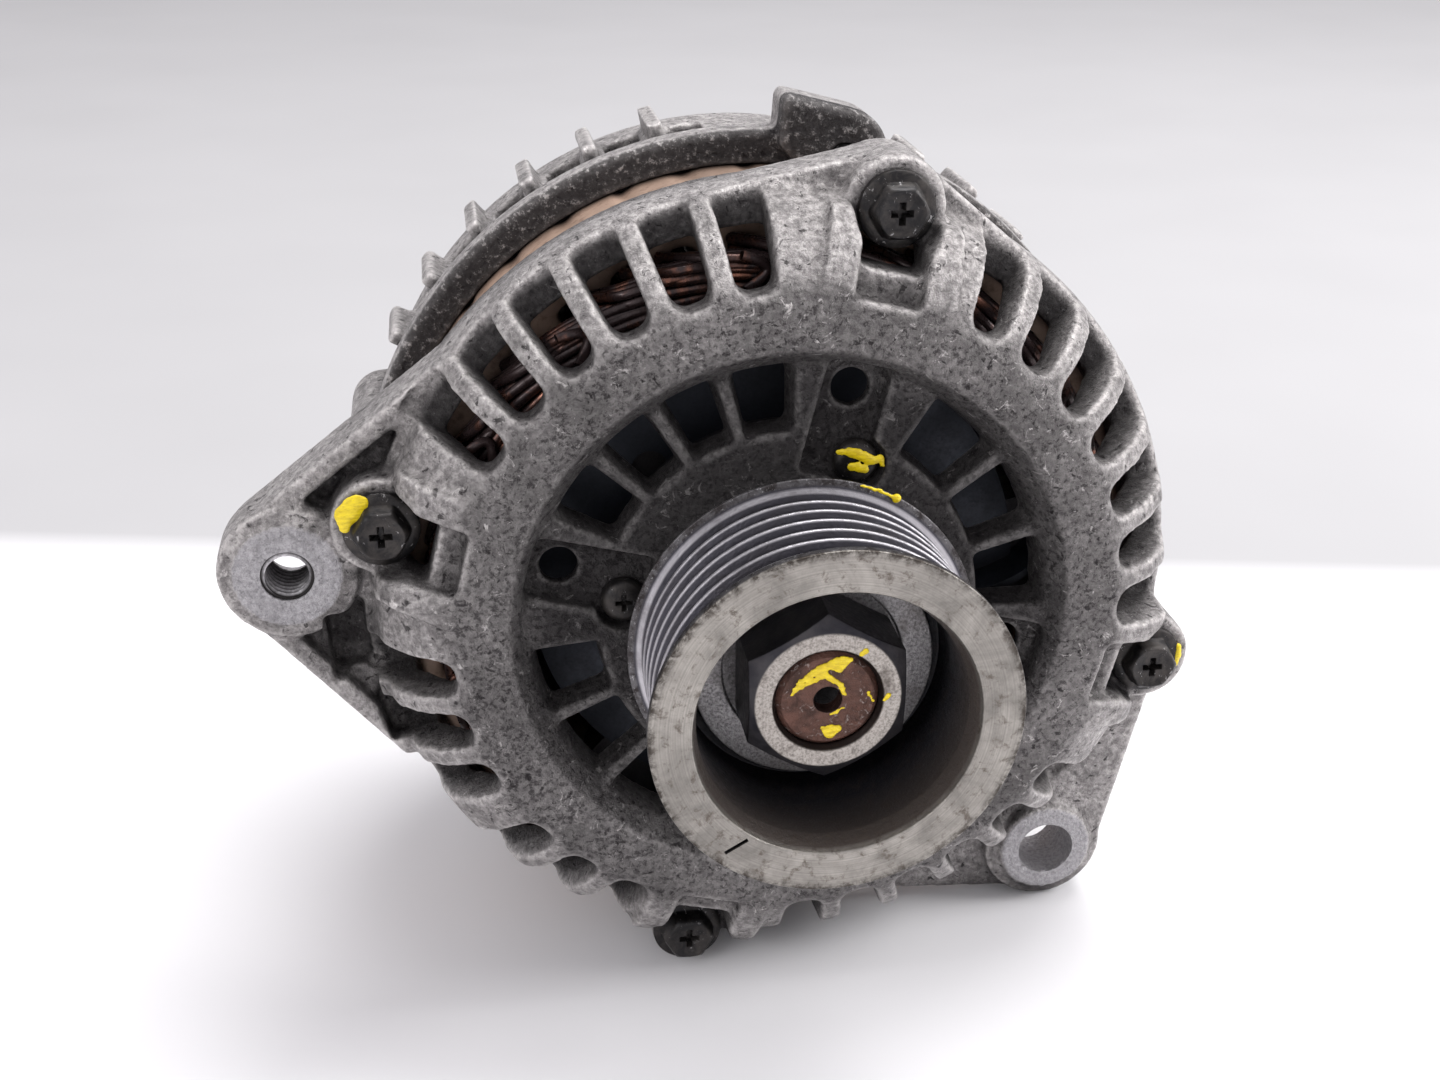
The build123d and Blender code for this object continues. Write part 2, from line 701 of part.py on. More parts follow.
# Pulley nut
with BuildPart() as pulley_nut:
    with BuildSketch(station(NUT_SEAT)):
        RegularPolygon(radius=NUT_ACROSS_FLATS / 2, side_count=6, major_radius=False, rotation=30)
    extrude(amount=NUT_SEAT - NUT_FACE)
    with BuildSketch(Plane.XY):
        with BuildLine():
            Polyline(
                (11.1, NUT_FACE),
                (16.0, NUT_FACE),
                (16.0, NUT_FACE + 2.8),
                close=True,
            )
        make_face()
    revolve(axis=Axis.Y, mode=Mode.SUBTRACT)
    with BuildSketch(Plane.XY):
        with BuildLine():
            Polyline(
                (0.0, NUT_FACE),
                (8.6, NUT_FACE),
                (THREAD_RADIUS + SEAT, NUT_FACE + 1.0),
                (THREAD_RADIUS + SEAT, NUT_SEAT - 0.9),
                (SHAFT_RADIUS + SEAT, NUT_SEAT),
                (0.0, NUT_SEAT),
                close=True,
            )
        make_face()
    revolve(axis=Axis.Y, mode=Mode.SUBTRACT)
save(pulley_nut, "pulley_nut")

# Spacer collar between the pulley's hub and the front bearing
spacer_collar = turned(
    [
        (SHAFT_RADIUS + SEAT, PULLEY_REAR),
        (12.4, PULLEY_REAR),
        (12.9, PULLEY_REAR + 0.6),
        (12.9, FRONT_BEARING[2]),
        (SHAFT_RADIUS + SEAT, FRONT_BEARING[2]),
    ]
)
save(spacer_collar, "spacer_collar")


def claw_pole(name, root_y, tip_y, turn):
    """A claw pole: half of the core, an end plate and six tapered fingers."""
    way = 1 if tip_y > root_y else -1
    plate = root_y + way * 11.0
    core_end = (root_y + tip_y) / 2
    with BuildPart() as pole:
        with BuildSketch(Plane.XY):
            with BuildLine():
                Polyline(
                    (SHAFT_RADIUS + SEAT, root_y),
                    (38.0, root_y),
                    (38.0, plate),
                    (19.0, plate),
                    (19.0, core_end),
                    (SHAFT_RADIUS + SEAT, core_end),
                    close=True,
                )
            make_face()
        revolve(axis=Axis.Y)
        for step in range(6):
            middle = turn + 60.0 * step
            with BuildSketch(station(root_y)):
                add(sector(36.0, ROTOR_RADIUS, middle - 14.0, middle + 14.0))
            with BuildSketch(station(plate)):
                add(sector(38.5, ROTOR_RADIUS, middle - 11.5, middle + 11.5))
            loft()
            with BuildSketch(station(plate)):
                add(sector(38.5, ROTOR_RADIUS, middle - 11.5, middle + 11.5))
            with BuildSketch(station(tip_y)):
                add(sector(45.6, ROTOR_RADIUS - 0.6, middle - 5.5, middle + 5.5))
            loft()
    save(pole, name)


claw_pole("front_claw_pole", ROTOR_FRONT, ROTOR_REAR - 1.5, 0.0)
claw_pole("rear_claw_pole", ROTOR_REAR, ROTOR_FRONT + 1.5, 30.0)

# Field coil on its bobbin, inside the claws
field_coil_bobbin = turned(
    [
        (19.1, ROTOR_FRONT + 11.1),
        (36.0, ROTOR_FRONT + 11.1),
        (36.0, ROTOR_FRONT + 11.9),
        (20.2, ROTOR_FRONT + 11.9),
        (20.2, ROTOR_REAR - 11.9),
        (36.0, ROTOR_REAR - 11.9),
        (36.0, ROTOR_REAR - 11.1),
        (19.1, ROTOR_REAR - 11.1),
    ]
)
save(field_coil_bobbin, "field_coil_bobbin")
field_coil = turned(
    [
        (20.3, ROTOR_FRONT + 12.0),
        (34.6, ROTOR_FRONT + 12.0),
        (34.6, ROTOR_REAR - 12.0),
        (20.3, ROTOR_REAR - 12.0),
    ]
)
save(field_coil, "field_coil")


def fan(name, plate_y, tip_y, blade_count):
    """A pressed fan: a flat plate with bent-up blades that reach to tip_y."""
    thickness = 1.3
    way = 1 if tip_y > plate_y else -1
    with BuildPart() as piece:
        with BuildSketch(station(plate_y)):
            Circle(42.0)
            Circle(SHAFT_RADIUS + 4.0, mode=Mode.SUBTRACT)
            with PolarLocations(30.0, 6, start_angle=15.0):
                Circle(3.0, mode=Mode.SUBTRACT)
        extrude(amount=-way * thickness)
        with BuildSketch(station(plate_y)):
            with PolarLocations(0, blade_count):
                with BuildLine():
                    TangentArc((33.4, -3.0), (47.6, 5.0), tangent=(1.0, 0.1))
                    Line((47.6, 5.0), (46.9, 6.2))
                    TangentArc((33.4, -1.7), (46.9, 6.2), tangent=(1.0, 0.1))
                    Line((33.4, -1.7), (33.4, -3.0))
                make_face()
        extrude(amount=plate_y - tip_y)
    save(piece, name)


fan("front_fan", ROTOR_FRONT - 1.35, 31.0, 11)
fan("rear_fan", ROTOR_REAR + 1.35, 85.4, 12)

# Slip rings on their insulating sleeve
slip_ring_sleeve = turned(
    [
        (REAR_BEARING[0] + SEAT, 87.0),
        (11.2, 87.0),
        (11.2, 102.4),
        (REAR_BEARING[0] + SEAT, 102.4),
    ]
)
save(slip_ring_sleeve, "slip_ring_sleeve")
with BuildPart() as slip_rings:
    for plane in SLIP_RING_PLANES:
        with BuildSketch(station(plane - SLIP_RING_WIDTH / 2)):
            Circle(SLIP_RING_RADIUS)
            Circle(11.25, mode=Mode.SUBTRACT)
        extrude(amount=-SLIP_RING_WIDTH)
save(slip_rings, "slip_rings")

# Brush holder with two chutes, its brushes and their springs
for name, plane in zip(("front", "rear"), SLIP_RING_PLANES):
    with BuildPart() as brush:
        with BuildSketch(Plane.XY.offset(SLIP_RING_RADIUS + 0.1)):
            with Locations((0, plane)):
                Rectangle(BRUSH_WIDTH, BRUSH_THICKNESS)
        extrude(amount=BRUSH_TOP - SLIP_RING_RADIUS - 0.1)
    save(brush, name + "_brush")
    with BuildPart() as spring:
        with BuildSketch(Plane.XY.offset(BRUSH_TOP)):
            with Locations((0, plane)):
                Circle(1.9)
                Circle(1.1, mode=Mode.SUBTRACT)
        extrude(amount=SPRING_TOP - BRUSH_TOP)
    save(spring, name + "_brush_spring")

with BuildPart() as brush_holder:
    with BuildSketch(Plane.XY.offset(HOLDER_BOTTOM)):
        with Locations((0, HOLDER_MIDDLE)):
            RectangleRounded(13.0, 15.2, 1.0)
    extrude(amount=HOLDER_TOP - HOLDER_BOTTOM)
    with BuildSketch(Plane.XY.offset(HOLDER_BOTTOM)):
        for plane in SLIP_RING_PLANES:
            with Locations((0, plane)):
                Rectangle(BRUSH_WIDTH + 0.2, BRUSH_THICKNESS + 0.2)
    extrude(amount=SPRING_TOP - HOLDER_BOTTOM, mode=Mode.SUBTRACT)
save(brush_holder, "brush_holder")

# Regulator on its heat sink, with the plug socket that reaches out through the rear wall
with BuildPart() as regulator:
    with BuildSketch(Plane.XY.offset(HOLDER_TOP)):
        with Locations((0, HOLDER_MIDDLE)):
            RectangleRounded(34.0, 15.0, 2.0)
    extrude(amount=18.0)
save(regulator, "regulator")
with BuildPart() as regulator_heat_sink:
    with BuildSketch(station(86.9)):
        with Locations((0, HEAT_SINK_Z)):
            RectangleRounded(33.0, 17.0, 2.0)
    extrude(amount=-0.55)
    with BuildSketch(station(SOCKET_FRONT)):
        with Locations((-12.8, HEAT_SINK_Z), (12.8, HEAT_SINK_Z)):
            Rectangle(7.6, 15.0)
    extrude(amount=-2.0)
save(regulator_heat_sink, "regulator_heat_sink")
with BuildPart() as plug_socket:
    with BuildSketch(station(SOCKET_FRONT)):
        with Locations((0, SOCKET_CENTRE_Z)):
            RectangleRounded(17.0, 13.0, 2.5)
    extrude(amount=SOCKET_FRONT - SOCKET_STEP)
    with BuildSketch(station(SOCKET_STEP)):
        with Locations((0, SOCKET_CENTRE_Z)):
            RectangleRounded(26.0, 15.6, 2.8)
    extrude(amount=SOCKET_STEP - SOCKET_REAR)
    with BuildSketch(station(112.0)):
        with Locations((0, SOCKET_CENTRE_Z)):
            RectangleRounded(22.0, 11.6, 2.0)
    extrude(amount=112.0 - SOCKET_REAR, mode=Mode.SUBTRACT)
    with BuildSketch(station(SOCKET_REAR - 9.0)):
        with Locations((0, SOCKET_CENTRE_Z + 8.4)):
            Rectangle(6.0, 1.6)
    extrude(amount=-5.0)
    with BuildSketch(station(SOCKET_FRONT)):
        with Locations(*[(x, SOCKET_CENTRE_Z) for x in PIN_SPACING]):
            Rectangle(1.7, 0.9)
    extrude(amount=-9.5, mode=Mode.SUBTRACT)
save(plug_socket, "plug_socket")
with BuildPart() as plug_pins:
    with BuildSketch(station(SOCKET_FRONT + 0.1)):
        with Locations(*[(x, SOCKET_CENTRE_Z) for x in PIN_SPACING]):
            Rectangle(1.6, 0.8)
    extrude(amount=-19.0)
save(plug_pins, "plug_pins")


def rectifier_plate(front, thickness, diode_angles, diode_circle, inner, outer):
    """One arc-shaped plate with round seats for its diodes and holes for the screws and stud."""
    with BuildPart() as plate:
        with BuildSketch(station(front)):
            add(sector(inner, outer, RECTIFIER_START, RECTIFIER_END))
            for angle in diode_angles:
                with Locations(polar(diode_circle, angle)):
                    Circle(DIODE_RADIUS + 0.05, mode=Mode.SUBTRACT)
            for angle in RECTIFIER_SCREWS:
                with Locations(polar(RECTIFIER_SCREW_CIRCLE, angle)):
                    Circle(SCREW_HOLE_RADIUS, mode=Mode.SUBTRACT)
        extrude(amount=-thickness)
    return plate


positive_plate = rectifier_plate(POSITIVE_PLATE_FRONT, 3.0, POSITIVE_DIODES, POSITIVE_CIRCLE, 28.0, 58.0)
with BuildPart() as rectifier_positive_plate:
    add(positive_plate.part)
    with BuildSketch(station(POSITIVE_PLATE_FRONT - 1.0)):
        with Locations(polar(*STUD_PLACE)):
            Circle(STUD_SHANK_RADIUS + SEAT)
    extrude(amount=-6.0, mode=Mode.SUBTRACT)
save(rectifier_positive_plate, "rectifier_positive_plate")

negative_plate = rectifier_plate(NEGATIVE_PLATE_FRONT, 2.7, NEGATIVE_DIODES, NEGATIVE_CIRCLE, 24.0, 54.8)
with BuildPart() as rectifier_negative_plate:
    add(negative_plate.part)
    with BuildSketch(station(NEGATIVE_PLATE_FRONT - 0.6)):
        with Locations(polar(*STUD_PLACE)):
            Circle(7.6)
    extrude(amount=-6.0, mode=Mode.SUBTRACT)
save(rectifier_negative_plate, "rectifier_negative_plate")

with BuildPart() as terminal_board:
    with BuildSketch(station(BOARD_FRONT)):
        add(sector(26.0, 58.8, RECTIFIER_START + 1, RECTIFIER_END - 1))
        with Locations(polar(*STUD_PLACE)):
            Circle(7.0, mode=Mode.SUBTRACT)
        for angle in RECTIFIER_SCREWS:
            with Locations(polar(RECTIFIER_SCREW_CIRCLE, angle)):
                Circle(SCREW_HOLE_RADIUS, mode=Mode.SUBTRACT)
        for angle in spaced(172.0, 8, 25.0):
            with Locations(polar(41.0, angle)):
                Circle(3.4, mode=Mode.SUBTRACT)
    extrude(amount=-2.0)
    with BuildSketch(station(POSITIVE_PLATE_FRONT + 3.05)):
        for angle in RECTIFIER_SCREWS:
            with Locations(polar(RECTIFIER_SCREW_CIRCLE, angle)):
                Circle(4.0)
                Circle(SCREW_HOLE_RADIUS, mode=Mode.SUBTRACT)
    extrude(amount=-6.5)
save(terminal_board, "terminal_board")

for name, front, angles, circle in (
    ("positive_diodes", 94.0, POSITIVE_DIODES, POSITIVE_CIRCLE),
    ("negative_diodes", 105.0, NEGATIVE_DIODES, NEGATIVE_CIRCLE),
):
    with BuildPart() as diodes:
        with BuildSketch(station(front)):
            for angle in angles:
                with Locations(polar(circle, angle)):
                    Circle(DIODE_RADIUS)
        extrude(amount=-5.2)
    save(diodes, name)

with BuildPart() as rectifier_screws:
    for angle in RECTIFIER_SCREWS:
        place = polar(RECTIFIER_SCREW_CIRCLE, angle)
        with BuildSketch(station(98.0)):
            with Locations(place):
                Circle(3.6)
        extrude(amount=2.6)
        with BuildSketch(station(98.0)):
            with Locations(place):
                Circle(2.0)
        extrude(amount=-16.0)
save(rectifier_screws, "rectifier_screws")

# Battery terminal: stud, insulating bush and flange nut
with BuildPart() as battery_stud:
    with BuildSketch(station(POSITIVE_PLATE_FRONT - 4.0)):
        with Locations(polar(*STUD_PLACE)):
            RegularPolygon(radius=5.5, side_count=6, major_radius=False)
    extrude(amount=-4.0)
    for front, rear, radius in (
        (POSITIVE_PLATE_FRONT, STUD_NUT_FRONT, STUD_SHANK_RADIUS),
        (STUD_NUT_FRONT, STUD_NUT_REAR, STUD_ENGAGED_RADIUS),
        (STUD_NUT_REAR, STUD_END, STUD_THREAD_RADIUS),
    ):
        with BuildSketch(station(front)):
            with Locations(polar(*STUD_PLACE)):
                Circle(radius)
        extrude(amount=front - rear)
    chamfer(battery_stud.edges().group_by(Axis.Y)[-1], length=0.8)
save(battery_stud, "battery_stud")
with BuildPart() as stud_insulator:
    with BuildSketch(station(POSITIVE_PLATE_FRONT + 3.05)):
        with Locations(polar(*STUD_PLACE)):
            Circle(6.8)
    extrude(amount=-16.0)
    with BuildSketch(station(REAR_FACE - 0.2)):
        with Locations(polar(*STUD_PLACE)):
            Circle(10.5)
    extrude(amount=REAR_FACE - 0.2 - STUD_NUT_FRONT)
    with BuildSketch(station(POSITIVE_PLATE_FRONT)):
        with Locations(polar(*STUD_PLACE)):
            Circle(STUD_SHANK_RADIUS + SEAT)
    extrude(amount=-30.0, mode=Mode.SUBTRACT)
save(stud_insulator, "stud_insulator")
with BuildPart() as stud_nut:
    with BuildSketch(station(STUD_NUT_FRONT)):
        with Locations(polar(*STUD_PLACE)):
            Circle(8.4)
    extrude(amount=-1.2)
    with BuildSketch(station(STUD_NUT_FRONT + 1.2)):
        with Locations(polar(*STUD_PLACE)):
            RegularPolygon(radius=6.5, side_count=6, major_radius=False)
    extrude(amount=STUD_NUT_FRONT + 1.2 - STUD_NUT_REAR)
    with BuildSketch(station(STUD_NUT_FRONT - 1.0)):
        with Locations(polar(*STUD_PLACE)):
            Circle(STUD_ENGAGED_RADIUS + SEAT)
    extrude(amount=-10.0, mode=Mode.SUBTRACT)
save(stud_nut, "stud_nut")

# Leads from the stator winding back to the terminal board
with BuildPart() as stator_leads:
    with BuildSketch(station(STATOR_REAR + 12.4)):
        for angle in (197.0, 250.0, 300.0, 344.0):
            with Locations(polar(59.6, angle)):
                Circle(0.7)
    extrude(amount=-18.0)
save(stator_leads, "stator_leads")
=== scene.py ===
"""Shape detail, finishes, stage and lights of a used car alternator."""

import math
import random

import bmesh
import bpy
import numpy as np
from mathutils import Matrix, Vector


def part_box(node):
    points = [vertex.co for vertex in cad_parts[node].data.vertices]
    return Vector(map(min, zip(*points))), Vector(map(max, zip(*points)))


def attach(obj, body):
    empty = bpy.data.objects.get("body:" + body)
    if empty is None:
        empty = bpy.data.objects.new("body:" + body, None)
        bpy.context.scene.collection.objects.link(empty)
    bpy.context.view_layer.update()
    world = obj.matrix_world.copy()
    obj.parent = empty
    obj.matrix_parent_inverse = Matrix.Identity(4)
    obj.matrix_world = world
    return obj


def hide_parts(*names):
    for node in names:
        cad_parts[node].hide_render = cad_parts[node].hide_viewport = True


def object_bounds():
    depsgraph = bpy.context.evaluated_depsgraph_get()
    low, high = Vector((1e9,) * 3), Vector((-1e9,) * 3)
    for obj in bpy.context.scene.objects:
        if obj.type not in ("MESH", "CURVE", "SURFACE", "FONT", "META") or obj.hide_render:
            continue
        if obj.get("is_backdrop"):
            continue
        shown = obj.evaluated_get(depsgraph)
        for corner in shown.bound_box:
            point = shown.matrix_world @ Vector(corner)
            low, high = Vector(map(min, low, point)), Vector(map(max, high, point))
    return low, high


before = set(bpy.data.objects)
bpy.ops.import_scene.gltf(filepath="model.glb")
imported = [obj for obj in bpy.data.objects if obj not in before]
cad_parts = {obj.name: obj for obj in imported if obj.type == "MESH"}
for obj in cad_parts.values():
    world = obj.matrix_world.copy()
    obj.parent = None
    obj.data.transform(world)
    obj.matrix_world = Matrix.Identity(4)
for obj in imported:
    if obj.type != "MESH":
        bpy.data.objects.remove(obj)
CAD_BOX = [list(corner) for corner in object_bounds()]
MM = 0.001

# Centres of the two ears, (x, z) in metres
LEFT_EAR = (-0.0808, 0.0087)
LOWER_EAR = (0.0525, -0.0600)

# Circles of fasteners about the shaft: radius in millimetres and angles in degrees
BOLT_CIRCLE = 67.4
BOLT_ANGLES = (75.5, 165.5, 255.5, 345.5)
SCREW_CIRCLE = 27.5
SCREW_ANGLES = (67.0, 173.0, 247.0, 353.0)

# Slots of the stator core, and the angles of the loops that lace its front coil head, in degrees
CORE_SLOTS = 36
SLOT_STEP = 10.0
FIRST_SLOT = 5.0
LACING_ANGLES = (97.0, 128.0, 152.0, 196.0, 236.0, 301.0, 12.0, 38.0)

# Edge lengths of the meshes of the core and of the paint, in metres
CORE_GRAIN = 0.0009
PAINT_GRAIN = 0.00016

bl_info = {
    "name": "Car Alternator",
    "version": (1, 0, 0),
    "blender": (4, 5, 0),
    "location": "View3D > Sidebar > Alternator",
    "description": "Adds the castings, windings, finishes, paint marks and stage of a car alternator",
    "category": "Object",
}


def length(name, text, value):
    """A size property in metres."""
    return bpy.props.FloatProperty(
        name=name, description=text, default=value, min=0.0, unit="LENGTH", precision=5
    )


def colour(name, text, value):
    """A colour property."""
    return bpy.props.FloatVectorProperty(
        name=name, description=text, default=value, size=3, min=0.0, max=1.0, subtype="COLOR"
    )


class AlternatorSizes(bpy.types.PropertyGroup):
    """Sizes of the modelled detail."""

    casting_grain: length("Casting grain", "Edge length of the mesh that rounds the front casting", 0.0005)
    rear_grain: length("Rear grain", "Edge length of the mesh that rounds the rear casting", 0.0006)
    wire: length("Wire radius", "Radius of one strand of the stator winding", 0.00086)
    ear_bore: length("Lower ear bore", "Radius of the plain bore in the lower ear", 0.00525)
    thread_root: length("Thread root", "Root radius of the thread in the left ear", 0.0040)
    thread_crest: length("Thread crest", "Crest radius of the thread in the left ear", 0.0034)
    thread_pitch: length("Thread pitch", "Pitch of the thread in the left ear", 0.00125)
    groove_pitch: length("Groove pitch", "Pitch of the belt grooves", 0.00356)
    flange: length("Pulley flange", "Radius of the pulley's end flanges", 0.0282)
    ridge: length("Pulley ridge", "Radius at the belt ridges", 0.0262)


class AlternatorColours(bpy.types.PropertyGroup):
    """Colours of the finishes."""

    alloy: colour("Cast alloy", "Colour of the clean cast aluminium", (0.255, 0.243, 0.238))
    # This colour paints the castings' oily dirt and also the painted shade in their hollows and slots.
    grime_and_shade: colour("Grime", "Colour of the oily dirt in the castings", (0.014, 0.012, 0.013))
    machined: colour("Machined alloy", "Colour of the cut ear faces", (0.47, 0.455, 0.47))
    copper: colour("Varnished copper", "Colour of the winding's wires", (0.17, 0.075, 0.05))
    laminations: colour("Laminations", "Colour of the stator core's outside", (0.36, 0.25, 0.19))
    pulley: colour("Pulley", "Colour of the worn pulley rim", (0.25, 0.235, 0.215))
    rust: colour("Shaft rust", "Colour of the rusted shaft end", (0.10, 0.045, 0.032))
    paint: colour("Paint marks", "Colour of the inspection paint", (0.85, 0.66, 0.01))
    floor: colour("Floor", "Colour of the floor", (0.80, 0.79, 0.805))


# Finishes


class Finish:
    """One node material, with short calls for the nodes that these finishes are made of."""

    def __init__(self, name, metallic=0.0, roughness=0.5):
        self.material = bpy.data.materials.new(name)
        self.material.use_nodes = True
        self.tree = self.material.node_tree
        self.tree.nodes.clear()
        self.shader = self.node("ShaderNodeBsdfPrincipled")
        self.shader.inputs["Metallic"].default_value = metallic
        self.shader.inputs["Roughness"].default_value = roughness
        output = self.node("ShaderNodeOutputMaterial")
        self.join(self.shader.outputs["BSDF"], output.inputs["Surface"])
        self.place = self.node("ShaderNodeTexCoord").outputs["Object"]

    def node(self, kind, sockets=None, **settings):
        """A new node, with a link or a constant for each input socket that is named or numbered."""
        made = self.tree.nodes.new(kind)
        for key, value in settings.items():
            setattr(made, key, value)
        for key, value in (sockets or {}).items():
            self.feed(made.inputs[key], value)
        return made

    def join(self, source, target):
        self.tree.links.new(source, target)

    def feed(self, target, value):
        """Links a socket, or sets a constant on it."""
        if isinstance(value, bpy.types.NodeSocket):
            self.join(value, target)
        elif target.type == "RGBA":
            target.default_value = (*value, 1.0)
        else:
            target.default_value = value

    def stretched(self, x, y, z):
        """Object coordinates with each axis scaled."""
        return self.node("ShaderNodeMapping", {"Vector": self.place, "Scale": (x, y, z)}).outputs["Vector"]

    def noise(self, scale, detail=3.0, rough=0.55, distortion=0.0, at=None):
        sockets = {"Vector": at or self.place, "Scale": scale, "Detail": detail, "Roughness": rough}
        return self.node("ShaderNodeTexNoise", {**sockets, "Distortion": distortion}).outputs["Fac"]

    def span(self, value, low, high, to_low=0.0, to_high=1.0):
        """A value between low and high, spread over to_low to to_high and held at the ends."""
        sockets = {"Value": value, "From Min": low, "From Max": high, "To Min": to_low, "To Max": to_high}
        return self.node("ShaderNodeMapRange", sockets).outputs["Result"]

    def maths(self, operation, a, b):
        return self.node("ShaderNodeMath", {0: a, 1: b}, operation=operation).outputs["Value"]

    def blend(self, share, a, b):
        return self.node("ShaderNodeMix", {"Factor": share, 6: a, 7: b}, data_type="RGBA").outputs[2]

    def fade(self, value, low, high, a, b, most=1.0):
        """Colour a where a value is low, with up to a share of colour b where it is high."""
        return self.blend(self.span(value, low, high, 0.0, most), a, b)

    def times(self, a, b):
        return self.maths("MULTIPLY", a, b)

    def most(self, a, b):
        """The larger of two values."""
        return self.maths("MAXIMUM", a, b)

    def axis(self, index):
        """One object coordinate, in metres."""
        return self.node("ShaderNodeSeparateXYZ", {"Vector": self.place}).outputs[index]

    def shaft_radius(self):
        """Distance from the shaft's axis, in metres."""
        flat = self.node("ShaderNodeVectorMath", {0: self.place, 1: (1.0, 0.0, 1.0)}, operation="MULTIPLY")
        made = self.node("ShaderNodeVectorMath", {0: flat.outputs["Vector"]}, operation="LENGTH")
        return made.outputs["Value"]

    def attribute(self, name):
        return self.node("ShaderNodeAttribute", attribute_name=name).outputs["Fac"]

    def hollow(self, distance, samples=6):
        """0 in the open and 1 in a crevice."""
        made = self.node("ShaderNodeAmbientOcclusion", {"Distance": distance}, samples=samples)
        return self.maths("SUBTRACT", 1.0, made.outputs["AO"])

    def edges(self, low, high):
        """1 along outer edges of a dense mesh."""
        made = self.node("ShaderNodeNewGeometry")
        return self.span(made.outputs["Pointiness"], low, high)

    def bumps(self, *layers, soften=0.0):
        """Bump layers of (height, distance in metres, strength), over softened edges if asked."""
        last = None
        if soften:
            last = self.node("ShaderNodeBevel", {"Radius": soften}, samples=4).outputs["Normal"]
        for height, distance, strength in layers:
            sockets = {"Height": height, "Distance": distance, "Strength": strength}
            if last:
                sockets["Normal"] = last
            last = self.node("ShaderNodeBump", sockets).outputs["Normal"]
        if last:
            self.join(last, self.shader.inputs["Normal"])

    def base(self, value):
        self.feed(self.shader.inputs["Base Color"], value)

    def rough(self, value):
        self.feed(self.shader.inputs["Roughness"], value)

    def metal(self, value):
        self.feed(self.shader.inputs["Metallic"], value)


def tint(base, factor):
    """A lighter or darker version of a colour."""
    return tuple(min(1.0, part * factor) for part in base)


